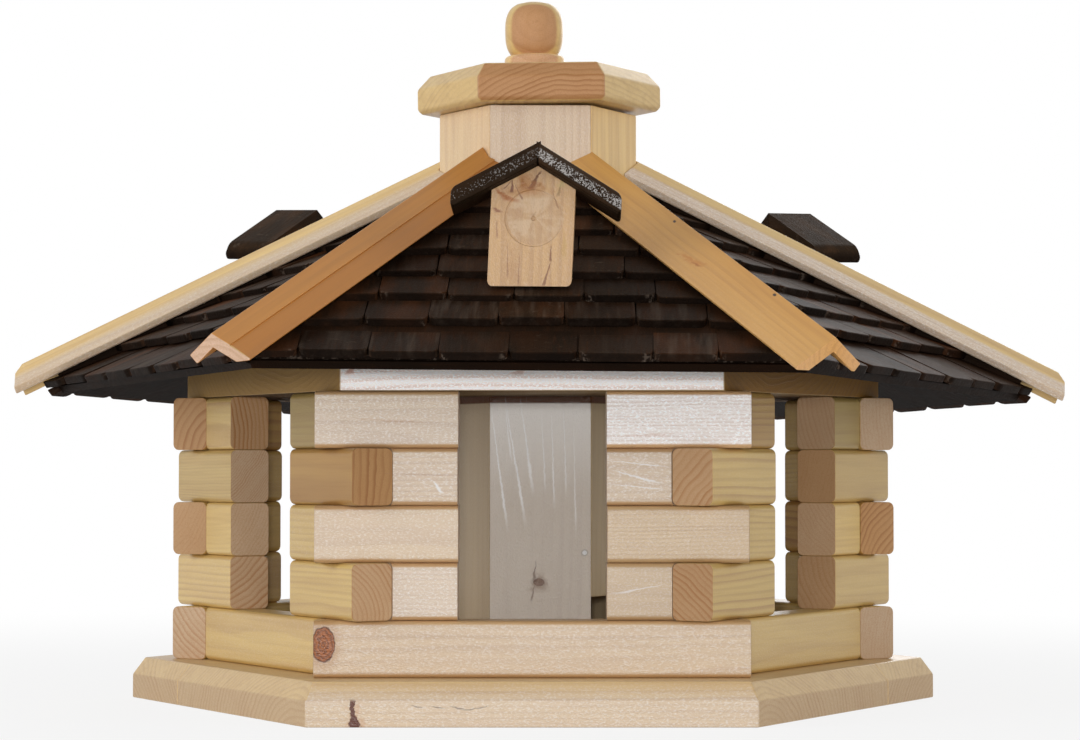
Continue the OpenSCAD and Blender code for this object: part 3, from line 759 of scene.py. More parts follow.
def placeLog(master, plan, k, course, side, fromX, toX, tree, cut):
    log = copyOf(master, "log")
    pushed(log, (toX - fromX - plan["length"], 0, 0), lambda v: v.co.x > 0)
    middleY = (-plan["reach"] + plan["thickness"] / 2
               + chance.uniform(-plan["looseness"], plan["looseness"]) * mm)
    middleZ = plan["floorTop"] + (course + 0.5) * plan["height"]
    settle(log, Matrix.Translation((fromX + plan["length"] / 2, middleY, middleZ)))
    if cut:  # short logs end in a mitre inside the long ones
        inner = plan["reach"] - plan["thickness"]
        for way in ((1, -1) if side == 0 else (side,)):
            across = Vector((way * math.cos(halfSixth), -math.sin(halfSixth), 0))
            cutOff(log, across * (inner - 0.3 * mm), across)
    turn = atFace(k)
    back = turn.inverted()
    settle(log, turn)
    heartOut, heartUp, gap, depth, tone, warmth, gloss, *ends = tree
    heart = Vector((0, middleY - heartOut * mm, middleZ + heartUp * mm))
    grown(log, turn @ eastWest, upright, turn @ heart, gap * mm, depth, tone, warmth, gloss)
    if k in plan["dimmedInside"]:  # painted shade on the inside faces
        middle = -plan["reach"] + plan["thickness"] / 2
        retinted(log, lambda c: (back @ c).y > middle, tone * 0.92, warmth + 0.2, gloss)
    if ends:
        retinted(log, lambda c: min(abs((back @ c).x - end) for end in (fromX, toX)) < tiny, *ends, gloss)
    return log


def treeFor(name, course, side):
    if (name, course, side) in logTrees:
        return logTrees[(name, course, side)]
    way = chance.uniform(0, 2 * math.pi)
    far = chance.uniform(18, 70)
    return (far * math.cos(way), far * math.sin(way), chance.uniform(2.0, 3.8), chance.uniform(0.25, 0.7),
            chance.uniform(0.92, 1.03), chance.uniform(0.4, 1.0), 0.2)


def makeWalls(plan):
    master = makeMasterLog(plan)
    longHalf = (plan["reach"] + plan["thickness"]) / math.sqrt(3)
    sills = {"long": [], "short": []}
    for k, name in enumerate(faceNames):
        kind, reach = ("long", longHalf) if k % 2 == 0 else ("short", plan["reach"])
        sills[kind].append(placeLog(master, plan, k, 0, 0, -reach, reach, treeFor(name, 0, 0), kind == "short"))
        walls = {"long": [], "short": []}
        for course in range(1, plan["courses"] + 1):
            kind = "long" if (course + k) % 2 == 0 else "short"
            for side in (-1, 1):
                far = plan["reach"]
                if kind == "long":
                    far = longHalf + chance.uniform(-plan["endLooseness"], plan["endLooseness"]) * mm
                near = plan["doorHalf"] + chance.uniform(*plan["doorLooseness"]) * mm
                span = (near, far) if side == 1 else (-far, -near)
                walls[kind].append(placeLog(master, plan, k, course, side, *span, treeFor(name, course, side),
                                            kind == "short"))
        for kind, logs in walls.items():
            finished(joined(f"logs_{name}_{kind}", logs), "house", logPine, f"{name}_{kind}_logs")
    frontSill = sills["long"].pop(0)
    frontSill.name = "sillFront"
    finished(frontSill, "house", frontSillPine, "long_sills")
    for kind, logs in sills.items():
        finished(joined(f"sills{kind.title()}", logs), "house", logPine, f"{kind}_sills")
    removed(master)


makeWalls(wallPlan)

print("ceiling and silo")
siloPlan = {"side": 0.0595, "board": 0.012, "x": 0.003, "turn": 1.6, "top": 0.35, "bottom": 0.024,
            "gap": 0.038, "gapFaces": (1, 4), "softened": 0.0009, "ringGap": 0.0036,
            "heartOff": 0.02, "heartIn": 0.03,  # how far the trees' hearts lie aside and behind the faces
            # ring depth, tone, warmth, and gloss and painted sheen of each board
            "looks": ((0.4, 1.0, 0.1, 1.0), (0.6, 1.2, 0.8, 0.1), (0.35, 1.0, 0.8, 0.1),
                      (0.3, 1.0, 0.6, 0.2), (0.5, 1.0, 0.9, 0.1), (0.3, 1.2, 0.25, 0.3))}
ceilingPlan = {"reach": 0.18, "thickness": 0.018, "bottom": 0.179, "softened": 0.0008,
               # tone, warmth and gloss-and-sheen of the underside, painted shade; of the front-right edge,
               # painted shade; and of the front edge, a painted highlight and sheen
               "under": (0.16, 1.8, -4.0), "rightEdge": (0.6, 1.0, 0.0), "frontEdge": (1.38, 0.0, 1.1)}
siloPlace = Matrix.Translation((siloPlan["x"], 0, 0)) @ turned(siloPlan["turn"], "Z")
siloReach = siloPlan["side"] * math.cos(halfSixth)
siloRoom = addSixSided("siloRoom", siloPlan["side"] + 0.4 * mm, 0.6, 0)
settle(siloRoom, siloPlace)


def makeCeiling(plan):
    ceiling = addSixSided("ceilingBoard", plan["reach"] / math.cos(halfSixth), plan["thickness"], plan["bottom"])
    carved(ceiling, siloRoom)
    soften(ceiling, plan["softened"], 2, 40)
    smooth(ceiling)
    grown(ceiling, eastWest, upright, (0, -0.12, 0.26), 0.0036, 0.3, 1.0, 0.0, 0.0)
    # painted shade on the underside and the front-right edge, and a painted highlight and sheen on the front edge
    retinted(ceiling, lambda c: c.z < plan["bottom"] + tiny, *plan["under"])
    retinted(ceiling, lambda c: c.y < 0 and c.x > 0.1, *plan["rightEdge"])
    retinted(ceiling, lambda c: c.y < tiny - plan["reach"], *plan["frontEdge"])
    finished(ceiling, "house", ceilingPine, "ceiling")


def makeSilo(plan):
    for k, name in enumerate(faceNames):
        bottom = plan["bottom"] + (plan["gap"] if k in plan["gapFaces"] else 0)
        board = addBlock(f"siloBoard_{name}", (plan["side"] * 1.3, plan["board"], plan["top"] - bottom),
                         (0, -siloReach + plan["board"] / 2, (plan["top"] + bottom) / 2))
        for side in (1, -1):
            cutOff(board, (0, 0, 0), (side * math.cos(halfSixth), math.sin(halfSixth), 0))
        soften(board, plan["softened"])
        smooth(board)
        place = siloPlace @ atFace(k)
        settle(board, place)
        heart = Vector((chance.uniform(-plan["heartOff"], plan["heartOff"]), -siloReach - plan["heartIn"], 0))
        grown(board, upright, place.to_3x3() @ -northSouth, place @ heart, plan["ringGap"], *plan["looks"][k])
        finished(board, "house", siloFrontPine if k == 0 else siloPine, f"silo_board_{name}")


makeCeiling(ceilingPlan)
makeSilo(siloPlan)

print("roof")
roofPlan = {"slope": 29.8, "eaveReach": 0.255, "eaveZ": 0.1815, "pitch": 1.75, "roll": 0.5, "turn": -1.1}
slope = math.radians(roofPlan["slope"])
hipSlope = math.atan(math.tan(slope) * math.cos(halfSixth))
roofPivot = Matrix.Translation((0, 0, ceilingPlan["bottom"]))
roofPlace = (Matrix.Translation((siloPlan["x"], 0, 0)) @ roofPivot @ turned(roofPlan["turn"], "Z")
             @ turned(roofPlan["roll"], "Y") @ turned(-roofPlan["pitch"], "X") @ roofPivot.inverted())


def roofPoint(upSlope, off, x=0.0):
    return Vector((x, -(roofPlan["eaveReach"] - upSlope * math.cos(slope) + off * math.sin(slope)),
                   roofPlan["eaveZ"] + upSlope * math.sin(slope) + off * math.cos(slope)))


shinglePlan = {"width": 0.0362, "gap": 0.0005, "length": 0.046, "butt": 0.0044, "head": 0.0018, "lift": 0.0038,
               "corner": 0.005, "rows": 8, "firstRow": 0.04, "row": 0.03, "edge": 0.0005,
               "starter": (0.33, 0.05, 0.0036), "starterBack": 0.006, "starterEdge": 0.0006,
               "batten": (0.009, 0.0034, 0.0125), "battenReach": 0.29,
               # how high the first row's lower edges lie over the boarding on each face
               "eaveLift": (0.0038, 0.0016, -0.0034, -0.0034, -0.0034, 0.0016),
               # how much the shingles differ: width, pitch and turn, slide and lift (mm), thickness
               "widths": (0.9, 1.06), "pitches": (-0.7, 0.5), "turns": (-1.2, 1.2), "slides": (-1.2, 1.2),
               "lifts": (0, 0.6), "thicknesses": (0.92, 1.08),
               # and their wear, tone, warmth and painted sheen streaks
               "wear": (0, 0, 0, 0, 0.4), "tones": (0.65, 1.3), "warmths": (0.1, 0.2, 0.3, 0.4, 0.6, 1.0),
               "streaks": (0, 0, 0.15, 0.3, 0.8)}


def makeMasterShingle(plan):
    # lower edge on the x axis, running up along y
    shingle = addBlock("masterShingle", (plan["width"], plan["length"], plan["butt"]),
                       (0, plan["length"] / 2, plan["butt"] / 2))
    openUp(shingle, "FACE", lambda f: f.normal.y > 0.9)
    bpy.ops.transform.resize(value=(1, 1, plan["head"] / plan["butt"]))
    bpy.ops.transform.translate(value=(0, 0, -(plan["butt"] - plan["head"]) / 2))
    shut()
    bevelled(shingle, plan["corner"], 3, lambda e: abs(edgeWay(shingle, e).z) > 0.9
             and endsOf(shingle, e)[0].y < 1 * mm)
    bevelled(shingle, plan["edge"], 1, lambda e: all(end.z > plan["butt"] * 0.8 and end.y < plan["length"] / 2
                                                     for end in endsOf(shingle, e)))
    return smooth(shingle, 40)


def hiddenPiece(piece, place):
    # dark wood that shows only in the gaps
    settle(piece, place)
    turn = place.to_3x3()
    return grown(piece, turn @ northSouth, turn @ upright, place.translation, 0.004, 0, 0.8, 0.2, 0)


def makeStarter(plan, place):
    _, long, thick = plan["starter"]
    starter = addBlock("starter", plan["starter"], (0, long / 2, thick / 2))
    bevelled(starter, plan["starterEdge"], 1, lambda e: abs(edgeWay(starter, e).x) > 0.9)
    return hiddenPiece(starter, place @ Matrix.Translation(roofPoint(plan["starterBack"], 0.2 * mm))
                       @ Matrix.Rotation(slope, 4, "X"))


def makeBatten(plan, place, way):
    # it lies under a hip strip
    wide, top, bottom = plan["batten"]
    long = plan["battenReach"] / math.cos(hipSlope)
    low = roofPlan["eaveZ"] + 0.008 / math.cos(slope) + math.tan(hipSlope) * (
        roofPlan["eaveReach"] / math.cos(halfSixth) - plan["battenReach"])
    batten = addBlock("batten", (wide, long, top + bottom), (0, long / 2, (top - bottom) / 2))
    return hiddenPiece(batten, place @ Matrix.Rotation(way * halfSixth, 4, "Z")
                       @ Matrix.Translation((0, -plan["battenReach"], low)) @ Matrix.Rotation(hipSlope, 4, "X"))


def layShingle(master, plan, place, start, lift, tilt, x, step):
    wide = chance.uniform(*plan["widths"])
    turn = (Matrix.Rotation(slope - tilt + math.radians(chance.uniform(*plan["pitches"])), 4, "X")
            @ turned(chance.uniform(*plan["turns"]), "Z"))
    point = roofPoint(start + chance.uniform(*plan["slides"]) * mm, lift + chance.uniform(*plan["lifts"]) * mm,
                      x + step * wide / 2)
    thick = chance.uniform(*plan["thicknesses"])
    wear, tone = chance.choice(plan["wear"]), chance.uniform(*plan["tones"])
    warmth, streaks = chance.choice(plan["warmths"]), chance.choice(plan["streaks"])
    onFace = place @ Matrix.Translation(point) @ turn @ Matrix.Diagonal((wide, 1, thick, 1))
    shingle = copyOf(master, "shingle", onFace)
    grown(shingle, onFace.to_3x3() @ northSouth, onFace.to_3x3() @ upright, place @ point, 0.004, wear, tone,
          warmth, streaks)
    return shingle, wide


def makeShingles(plan):
    master = makeMasterShingle(plan)
    step = plan["width"] + plan["gap"]
    for k, name in enumerate(faceNames):
        place = roofPlace @ atFace(k)
        pieces = [makeStarter(plan, place)] if k == 0 else []
        pieces += [makeBatten(plan, place, way) for way in (1, -1)]
        for row in range(plan["rows"]):
            start = 0 if row == 0 else plan["firstRow"] + (row - 1) * plan["row"]
            lift = plan["eaveLift"][k] if row == 0 else plan["lift"]
            tilt = math.atan((lift - 0.3 * mm) / plan["length"])
            half = (roofPlan["eaveReach"] - start * math.cos(slope)) * math.tan(halfSixth) + 2 * mm
            x = -half - step * (chance.uniform(0.0, 0.3) + (0.5 if row % 2 else 0))
            while x < half + step / 2:
                shingle, wide = layShingle(master, plan, place, start, lift, tilt, x, step)
                pieces.append(shingle)
                x += step * wide
        roofSide = joined(f"shingles_{name}", pieces)
        for way in (1, -1):
            across = place.to_3x3() @ Vector((way * math.cos(halfSixth), math.sin(halfSixth), 0))
            cutOff(roofSide, place.translation - across * 0.6 * mm, across)
        inward = (siloPlace @ atFace(k)).to_3x3() @ northSouth
        cutOff(roofSide, siloPlace.translation - inward * (siloReach + 0.3 * mm), inward)
        node = "shingles_under_dormers" if k % 2 == 0 else "shingles_plain_sides"
        finished(roofSide, "house", stainedShingle, node)
        print("  shingles on", name, len(pieces))
    removed(master)


makeShingles(shinglePlan)

print("hip strips")
stripPlan = {"leg": 0.0215, "thickness": 0.006, "angle": 108, "reach": 0.315, "over": 0.02, "endLean": 13,
             "softened": 0.00077, "legCut": (0.012, 0.02), "legCutIn": 0.004, "endDepth": 0.0016,
             "cover": 0.008}  # how high the shingles lie over the boarding
# ring depth, how much wider the left and right legs are, the lips that they end in, slide along and shift across
# the hip, skew of the end, trimmed tip, crease (leg, part, depth), blend (leg, the part over which the ridge's
# colour goes over into its edge's), and tone, warmth and gloss and painted sheen of the sawn end
stripUsual = {"depth": 0.3, "wider": (0, 0), "lips": (0.003, 0.003), "slide": 0, "shift": 0, "skew": 0,
              "tip": 0, "crease": None, "blend": None, "end": None}
# tone, warmth and gloss and painted sheen of the ridge and of the legs' edges, and what is unusual
stripLooks = {
    "front": {"ridge": (1.05, 1.9, 0.0), "edge": (1.06, 1.8, 0.1), "wider": (0.0055, 0), "lips": (0.0014, 0.004),
              "slide": -0.0019},
    # the pale tint and gloss-and-sheen of this strip's edge band paint the sheen where the near leg faces the
    # front lamp
    "front_right": {"ridge": (1.06, 1.0, 0.1), "edge": (1.08, 0.0, 0.9), "depth": 0.35, "tip": 0.0035,
                    "slide": 0.0012, "lips": (0.0036, 0.004), "blend": (-1, 0.42, 0.56)},
    "back_right": {"ridge": (1.0, 0.7, 0.2), "edge": (1.0, 0.6, 0.3)},
    "back": {"ridge": (1.0, 0.8, 0.2), "edge": (1.0, 0.7, 0.3), "depth": 0.35},
    # the pale tint and gloss-and-sheen of this strip's edge band paint the sheen where the near leg faces the
    # front lamp
    "back_left": {"ridge": (1.15, 0.95, 0.1), "edge": (1.06, 0.0, 0.6), "wider": (0, 0.0015), "tip": 0.0035,
                  "slide": 0.001, "lips": (0.004, 0.0036), "blend": (1, 0.4, 0.75)},
    "front_left": {"ridge": (1.02, 1.86, 0.0), "edge": (0.9, 1.96, 0.0), "depth": 0.5, "wider": (-0.005, 0.0032),
                   "lips": (0.0045, 0.0014), "slide": 0.003, "shift": 0.003, "skew": 12,
                   "crease": (1, 0.47, 0.00075), "end": (0.94, 0.8, 0.2)}}


def makeMasterStrip(plan, length, legAngle):
    # one leg, then its mirror image; the ridge runs along z
    leg, thick, long = plan["leg"], plan["thickness"], length + plan["over"]
    strip = addBlock("masterStrip", (leg, thick, long), (leg / 2, -thick / 2, plan["over"] - long / 2))
    settle(strip, Matrix.Rotation(-legAngle, 4, "Z"))
    cutOff(strip, (0, 0, 0), (-1, 0, 0), close=False)
    applied(strip, "MIRROR", use_axis=(True, False, False), use_clip=True, merge_threshold=tiny)
    rightWayOut(strip)
    return strip


def trimLegs(plan, piece, lips, length):
    # the legs end in a cut that lies flat on the shingles
    wide, high = plan["legCut"]
    corners = [max((v.co for v in piece.data.vertices), key=lambda c: c.x * side).copy() for side in (-1, 1)]
    for side, corner, lip in zip((-1, 1), corners, lips):
        cutOut(piece, addBlock("legCutter", (wide, high, length + 0.1), (
            corner.x - side * plan["legCutIn"], corner.y - lip - high / 2, -length / 2)))


def makeStrips(plan):
    leg, thick = plan["leg"], plan["thickness"]
    half = math.radians(plan["angle"] / 2)
    legAngle = math.pi / 2 - half
    legSin, legCos = math.sin(legAngle), math.cos(legAngle)
    halfTurn = math.atan(1 / (math.sin(hipSlope) * math.tan(halfSixth)))
    lift = (leg * math.cos(half) + thick * math.sin(half)
            - (leg * math.sin(half) - thick * math.cos(half)) / math.tan(halfTurn))
    end = Vector((0, -plan["reach"], (
        roofPlan["eaveZ"] + plan["cover"] / math.cos(slope) + lift / math.cos(hipSlope)
        - (plan["reach"] - roofPlan["eaveReach"] / math.cos(halfSixth)) * math.tan(hipSlope))))
    length = plan["reach"] / math.cos(hipSlope)
    lean = math.radians(plan["endLean"])
    onHip = Matrix.Translation(end) @ Matrix.Rotation(math.radians(90) + hipSlope, 4, "X")
    strip = makeMasterStrip(plan, length, legAngle)
    for k, name in enumerate(faceNames):
        looks = {**stripUsual, **stripLooks[name]}
        piece = copyOf(strip, f"hipStrip_{name}")
        across = looks["shift"]
        settle(piece, Matrix.Translation((-across * legCos, across * legSin, 0)))
        for side, wider in zip((-1, 1), looks["wider"]):
            pushed(piece, (side * wider * legCos, -wider * legSin, 0), lambda v: v.co.x * side > leg * 0.5)
        trimLegs(plan, piece, looks["lips"], length)
        settle(piece, onHip)
        skew = math.radians(looks["skew"])
        endPoint = end - northSouth * looks["slide"]
        endWay = Vector((math.sin(skew), -math.cos(lean) * math.cos(skew), -math.sin(lean) * math.cos(skew)))
        cutOff(piece, endPoint, endWay)
        if looks["tip"]:
            cutOff(piece, endPoint + northSouth * looks["tip"], (0, -0.9, 0.43))
        place = roofPlace @ turned(60 * k + 30, "Z")
        settle(piece, place)
        carved(piece, siloRoom)
        soften(piece, plan["softened"], 2, 25)
        fromHip = place @ onHip
        toHip = fromHip.inverted()
        heart = fromHip @ Vector((chance.uniform(-0.02, 0.02), chance.uniform(-0.05, 0.03), 0))
        lowerBand = lambda c: abs(c.x) > leg * 0.6
        if looks["crease"]:  # the lower part of the leg lies a little deeper
            side, part, depth = looks["crease"]
            start = part * (leg + looks["wider"][0 if side == -1 else 1]) - across
            cutter = addBlock("creaseCutter", (0.03, 0.004, length + 0.1),
                              (start + 0.015, 0.002 - depth, -length / 2))
            settle(cutter, fromHip @ Matrix.Rotation(-side * legAngle, 4, "Z"))
            cutOut(piece, cutter)
            lowerBand = lambda c: c.x > 0 and c.x * legSin + c.y * legCos < -depth * 0.8
        if looks["blend"]:
            side, start, stop = looks["blend"]
            legWay = Vector((side * legCos, -legSin, 0))
            for part in (start, stop):
                scored(piece, fromHip @ (legWay * leg * part), fromHip.to_3x3() @ legWay)
            lowerBand = lambda c: c.dot(legWay) > leg * stop - tiny
        if looks["end"]:
            scored(piece, place @ (endPoint - endWay * plan["endDepth"]), place.to_3x3() @ endWay)
        grown(piece, fromHip.to_3x3() @ upright, fromHip.to_3x3() @ northSouth, heart,
              chance.uniform(0.0028, 0.0042), looks["depth"], *looks["ridge"])
        retinted(piece, lambda c: lowerBand(toHip @ c), *looks["edge"])
        if looks["end"]:
            back = place.inverted()
            retinted(piece, lambda c: abs((back @ c - endPoint).dot(endWay)) < tiny, *looks["end"])
        slot, finish = ("strip_pine_warm", stripPineWarm) if name == "front_left" else ("strip_pine", stripPine)
        finished(piece, "house", finish, f"hip_strip_{name}")
    removed(strip)


makeStrips(stripPlan)
for kind, finish in (("boarding", stainedBoarding), ("curb", curbPine)):
    for where in ("under_dormers", "plain_sides"):
        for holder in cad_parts[f"{kind}_{where}"].material_slots:
            holder.material = finish

print("dormers")
dormerPlan = {"faces": (0, 2, 4), "width": 0.0455, "thickness": 0.0245, "reach": 0.186, "offset": -0.0018,
              "recess": 0.031, "recessDepth": 0.0007, "recessPlace": (-0.0012, 0.2638),
              "dimple": (0.0016, 0.003, 0.0012),  # radius, depth and how far behind the recess
              "foot": 0.21, "footRound": 0.0026, "footGap": 0.001, "gableSoft": 0.00128, "cover": 0.008,
              "ridgeZ": 0.3035, "overRidge": 0.005, "slope": 30, "board": 0.0095, "halfWidth": 0.046,
              "length": 0.032, "overhang": 0.0105, "boardSoft": 0.0013, "boardWarmth": (0.2, 0.6), "backLean": 3,
              # of each dormer: rounding of the boards' ends, lean, shift and lift
              "settled": ((0.003, 2, 0.003, 0.003), (0.006, 3, 0, 0), (0.006, -1.5, 0, 0)),
              # painted glints and sheen, tone and longer end of its left and right boards
              "boards": (((0.3, 0.75, 0), (0.9, 0.75, 0)), ((0.0, 1.25, 0.0045), (0.1, 0.9, 0)),
                         ((0.1, 0.9, 0), (0.0, 1.1, 0.003)))}
roofNormal = Vector((0, -math.sin(slope), math.cos(slope)))


def makeGable(plan, place, onFace):
    pitch = math.radians(plan["slope"])
    top = plan["ridgeZ"] + plan["overRidge"]
    gable = addBlock("gable", (plan["width"], plan["thickness"], top - plan["foot"]),
                     (plan["offset"], plan["thickness"] / 2 - plan["reach"], (top + plan["foot"]) / 2))
    for side in (1, -1):
        cutOff(gable, (0, 0, plan["ridgeZ"] - plan["board"] / math.cos(pitch)),
               (side * math.sin(pitch), 0, math.cos(pitch)))
    x, z = plan["recessPlace"]
    cutOut(gable, added("recessBit", bpy.ops.mesh.primitive_cylinder_add, vertices=48, radius=plan["recess"] / 2,
                        depth=2 * plan["recessDepth"], location=(x, -plan["reach"], z),
                        rotation=(math.radians(90), 0, 0)))
    radius, deep, behind = plan["dimple"]
    cutOut(gable, added("dimpleBit", bpy.ops.mesh.primitive_cone_add, vertices=16, radius1=radius, depth=deep,
                        location=(x, plan["recessDepth"] + behind - plan["reach"], z),
                        rotation=(math.radians(-90), 0, 0)))
    settle(gable, place)
    cutOff(gable, onFace @ roofPoint(0, plan["cover"] + plan["footGap"]), -(onFace.to_3x3() @ roofNormal))
    foot = min(v.co.z for v in gable.data.vertices)
    turn = place.to_3x3()
    bevelled(gable, plan["footRound"], 3, lambda e: abs(edgeWay(gable, e).dot(turn @ northSouth)) > 0.8
             and min(end.z for end in endsOf(gable, e)) < foot + 4 * mm)
    soften(gable, plan["gableSoft"], 3, 30)
    smooth(gable)
    return grown(gable, turn @ upright, turn @ -northSouth, place @ Vector((-0.012, -plan["reach"] - 0.012, 0)),
                 0.0044, 0.5, 1.0, 0.0)


def makeDormerBoard(plan, place, onFace, side, rounding, flecks, tone, longer):
    pitch = math.radians(plan["slope"])
    ridgeReach = plan["reach"] + plan["overhang"]
    end = plan["halfWidth"] + longer
    long = end / math.cos(pitch) + 0.01
    board = addBlock("dormerBoard", (long, plan["length"], plan["board"]),
                     (long / 2, plan["length"] / 2 - ridgeReach, -plan["board"] / 2))
    settle(board, Matrix.Translation((0, 0, plan["ridgeZ"])) @ Matrix.Rotation(pitch, 4, "Y"))
    cutOff(board, eastWest * tiny, -eastWest)
    cutOff(board, eastWest * end, eastWest)
    bevelled(board, rounding, 4, lambda e: abs(edgeWay(board, e).y) > 0.9
             and all(corner.x > end - 0.5 * mm for corner in endsOf(board, e)))
    if side == -1:
        board.data.transform(Matrix.Diagonal((-1, 1, 1, 1)))
        rightWayOut(board)
    settle(board, place)
    cutOff(board, onFace @ roofPoint(0, plan["cover"]), -(onFace.to_3x3() @ roofNormal))
    soften(board, plan["boardSoft"], 2, 40)
    turn = place.to_3x3()
    down = turn @ Vector((side * math.cos(pitch), 0, -math.sin(pitch)))
    face = turn @ Vector((side * math.sin(pitch), 0, math.cos(pitch)))
    return grown(board, down, face, place @ Vector((0, -ridgeReach, plan["ridgeZ"])), 0.004, 0.3, tone,
                 chance.uniform(*plan["boardWarmth"]), flecks)


def makeDormers(plan):
    gables, boards = [], {-1: [], 1: []}
    pivot = Vector((0, -(plan["reach"] + plan["overhang"]), plan["ridgeZ"]))
    for k, settled, looks in zip(plan["faces"], plan["settled"], plan["boards"]):
        rounding, lean, shift, lift = settled
        onFace = roofPlace @ atFace(k)
        place = (onFace @ Matrix.Translation(pivot + Vector((shift, 0, lift))) @ turned(lean, "Y")
                 @ turned(-plan["backLean"], "X") @ Matrix.Translation(-pivot))
        gables.append(makeGable(plan, place, onFace))
        for side, look in zip((-1, 1), looks):
            boards[side].append(makeDormerBoard(plan, place, onFace, side, rounding, *look))
    finished(joined("dormerGables", gables), "house", gablePine, "dormer_gables")
    for side, name in ((-1, "Left"), (1, "Right")):
        finished(joined(f"dormerBoards{name}", boards[side]), "house", stainedBoard,
                 f"dormer_boards_{name.lower()}")


makeDormers(dormerPlan)

print("lid")
lidPlan = {"side": 0.0735, "thickness": 0.0235, "edge": 0.015, "bevel": 0.007, "foot": 0.0025, "turn": 1.2,
           "tilt": 0.9, "offset": 0.0008, "softened": 0.0012, "lookFrom": 30.15,
           "plug": 0.012, "plugGap": 0.005, "plugSoft": 0.001,
           "knobOffset": -0.0016, "knobWidth": 0.0348, "knobHeight": 0.03294, "knobLow": -0.82, "knobEnd": 0.992,
           "knobPower": 2.9, "knobSteps": 22, "tipRadius": 0.001,
           "collarWidth": 0.036, "collarHeight": 0.011, "collarRound": 0.0024, "collarFoot": 0.0004}
onSiloTop = (Matrix.Translation((siloPlan["x"] - siloPlan["side"], 0, siloPlan["top"]))
             @ turned(-lidPlan["tilt"], "Y") @ Matrix.Translation((siloPlan["side"], 0, 0)))


def makeCap(plan):
    cap = addBevelledSlab("lidCap", plan)
    bevelled(cap, plan["foot"], 1, lambda e: all(end.z < tiny for end in endsOf(cap, e)))
    soften(cap, plan["softened"], 3, 20)
    smooth(cap, 40)
    place = onSiloTop @ Matrix.Translation((plan["offset"], 0, 0)) @ turned(plan["turn"], "Z")
    settle(cap, place)
    grown(cap, northSouth, upright, place @ Vector((0.027, 0, -0.085)), 0.003, 0.9, 0.96, 1.0, 0.0)
    back = place.inverted()
    retinted(cap, lambda c: math.atan2(abs((back @ c).x), -(back @ c).y) > math.radians(plan["lookFrom"]),
             1.0, 0.9, 0.2, 0.4)
    finished(cap, "lid", lidPine, "lid_cap")


def makePlug(plan):
    side = siloPlan["side"] - (siloPlan["board"] + plan["plugGap"]) / math.cos(halfSixth)
    plug = addSixSided("lidPlug", side, plan["plug"], -plan["plug"])
    soften(plug, plan["plugSoft"], 2, 30)
    smooth(plug)
    settle(plug, onSiloTop @ turned(siloPlan["turn"], "Z"))
    grown(plug, eastWest, upright, (0, 0, 0.39), 0.003, 0.5, 1.0, 0.6)
    finished(plug, "lid", lidPine, "lid_plug")


def knobProfile(plan):
    # half widths and heights from the collar's foot to the knob's top
    wide, high, rounding = plan["collarWidth"] / 2, plan["collarHeight"], plan["collarRound"]
    profile = [(wide - plan["collarFoot"], 0), (wide, plan["collarFoot"])]
    for i in range(7):
        a = math.radians(15 * i)
        profile.append((wide - rounding * (1 - math.cos(a)), high - rounding * (1 - math.sin(a))))
    low, power = plan["knobLow"], plan["knobPower"]
    halfHigh = plan["knobHeight"] / (1 - low)
    middle = high - low * halfHigh
    for i in range(plan["knobSteps"] + 1):
        u = low + (plan["knobEnd"] - low) * i / plan["knobSteps"]
        profile.append((plan["knobWidth"] / 2 * (1 - abs(u) ** power) ** (1 / power), middle + u * halfHigh))
    return profile + [(plan["tipRadius"], middle + halfHigh)]


def makeKnob(plan):
    profile = knobProfile(plan)
    knob = added("lidKnob", bpy.ops.mesh.primitive_circle_add, vertices=48, radius=profile[0][0],
                 fill_type="NGON")
    openUp(knob, "FACE", everything)
    for (wide, high), (nextWide, nextHigh) in zip(profile, profile[1:]):
        bpy.ops.mesh.extrude_region_move(TRANSFORM_OT_translate={"value": (0, 0, nextHigh - high)})
        bpy.ops.transform.resize(value=(nextWide / wide, nextWide / wide, 1))
    shut()
    rightWayOut(knob)
    smooth(knob, 40)
    place = onSiloTop @ Matrix.Translation((plan["knobOffset"], 0, plan["thickness"]))
    settle(knob, place)
    grown(knob, northSouth, upright, place @ Vector((0.002, 0, 0.03)), 0.0065, 0.35, 1.02, 1.0, 0.1)
    back = place.inverted()
    retinted(knob, lambda c: (back @ c).z < plan["collarHeight"] + tiny, 1.28, 0.85, 0.4)
    finished(knob, "lid", lidPine, "lid_knob")


makeCap(lidPlan)
makePlug(lidPlan)
makeKnob(lidPlan)
removed(siloRoom)

print("stage")
stagePlan = {"radius": 8, "below": 0.0002, "shadow": (0.35, 1.2, 0.84), "floor": (0.8, 0.8, 0.8),
             "worldLight": 0.36, "camera": (0.00421, -1.77355, 0.13728), "tilt": 91.903,
             "lens": 98.33, "sensor": 36,
             # each lamp's place, what it points at, its width and its power
             "lamps": {"frontLamp": ((-0.02, -1.78, 0.23), (0, 0, 0.18), 0.12, 9),
                       "leftLamp": ((-1.5, -0.75, 0.55), (0, 0, 0.15), 1.0, 10.5),
                       "rightLamp": ((1.5, -0.75, 0.55), (0, 0, 0.15), 1.0, 5.5),
                       "backLamp": ((0.5, 1.9, 0.9), (0, 0, 0.15), 1.2, 12)}}


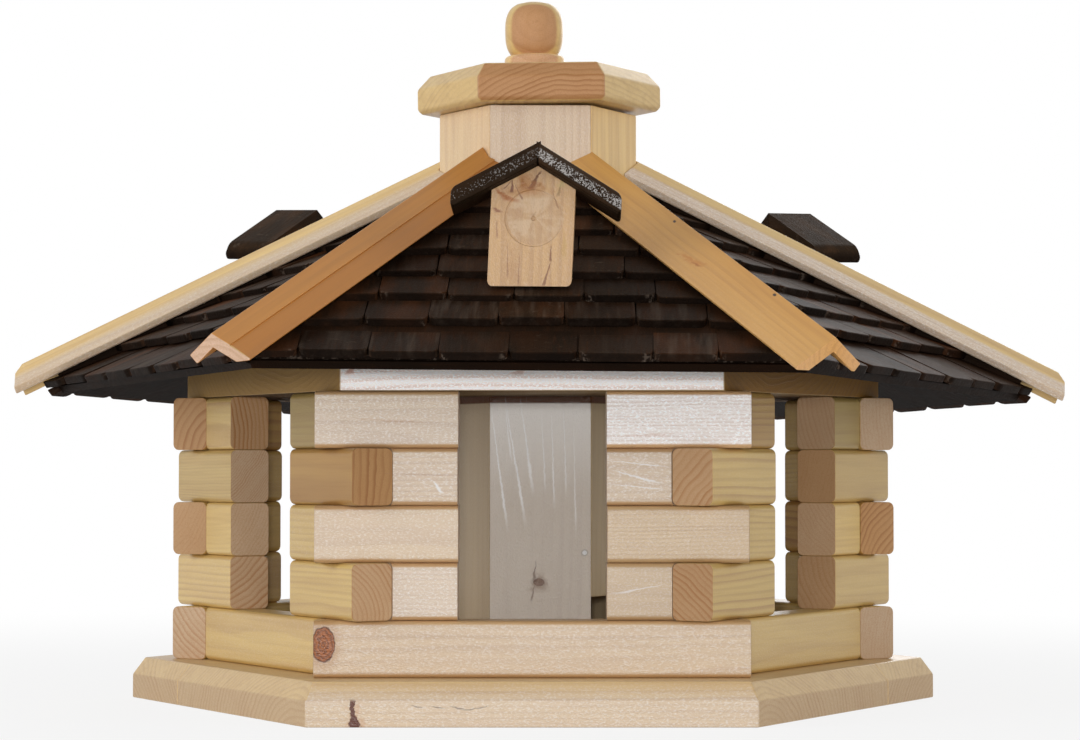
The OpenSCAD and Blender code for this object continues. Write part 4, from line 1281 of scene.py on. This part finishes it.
def backdropSeen(recipe):
    # 1 where the camera, gloss or glass looks at it, 0 for the light that it gives
    camera, glossy, through = (recipe.add("ShaderNodeLightPath", out=f"Is {ray} Ray")
                               for ray in ("Camera", "Glossy", "Transmission"))
    return camera.most(glossy).most(through)


def makeGround(plan):
    ground = added("ground", bpy.ops.mesh.primitive_circle_add, vertices=96, radius=plan["radius"],
                   fill_type="NGON", location=(0, 0, -plan["below"]))
    material = bpy.data.materials.new("ground")
    recipe = Recipe(material)
    x, y = recipe.split(recipe.here())[:2]
    plain = (x * x + y * y).root().rise(*plan["shadow"], 1.0)  # the shadow fades out round the feeder
    matt = recipe.add("ShaderNodeBsdfDiffuse", None, {"Color": plan["floor"]})
    bright = recipe.add("ShaderNodeEmission", None, {"Color": (1, 1, 1), "Strength": 1.0})
    recipe.done(recipe.add("ShaderNodeMixShader", None, {0: backdropSeen(recipe) * plain, 1: matt, 2: bright}))
    ground.data.materials.append(material)


def makeWorld(plan):
    world = bpy.data.worlds.new("room")
    bpy.context.scene.world = world
    recipe = Recipe(world)
    strength = backdropSeen(recipe).rise(0.0, 1.0, plan["worldLight"], 1.0)
    recipe.done(recipe.add("ShaderNodeBackground", None, {"Color": (1, 1, 1), "Strength": strength}),
                "ShaderNodeOutputWorld")


def addLamp(name, place, target, size, power):
    bpy.ops.object.light_add(type="AREA", location=place)
    lamp = bpy.context.object
    lamp.name = name
    lamp.data.size = size
    lamp.data.energy = power
    lamp.rotation_euler = (Vector(target) - Vector(place)).to_track_quat("-Z", "Y").to_euler()


def addCamera(plan):
    bpy.ops.object.camera_add(location=plan["camera"], rotation=(math.radians(plan["tilt"]), 0, 0))
    camera = bpy.context.object
    camera.data.lens = plan["lens"]
    camera.data.sensor_width = plan["sensor"]
    bpy.context.scene.camera = camera


makeGround(stagePlan)
makeWorld(stagePlan)
for name, lamp in stagePlan["lamps"].items():
    addLamp(name, *lamp)
addCamera(stagePlan)
bpy.context.scene.view_settings.view_transform = "Standard"

print("done")
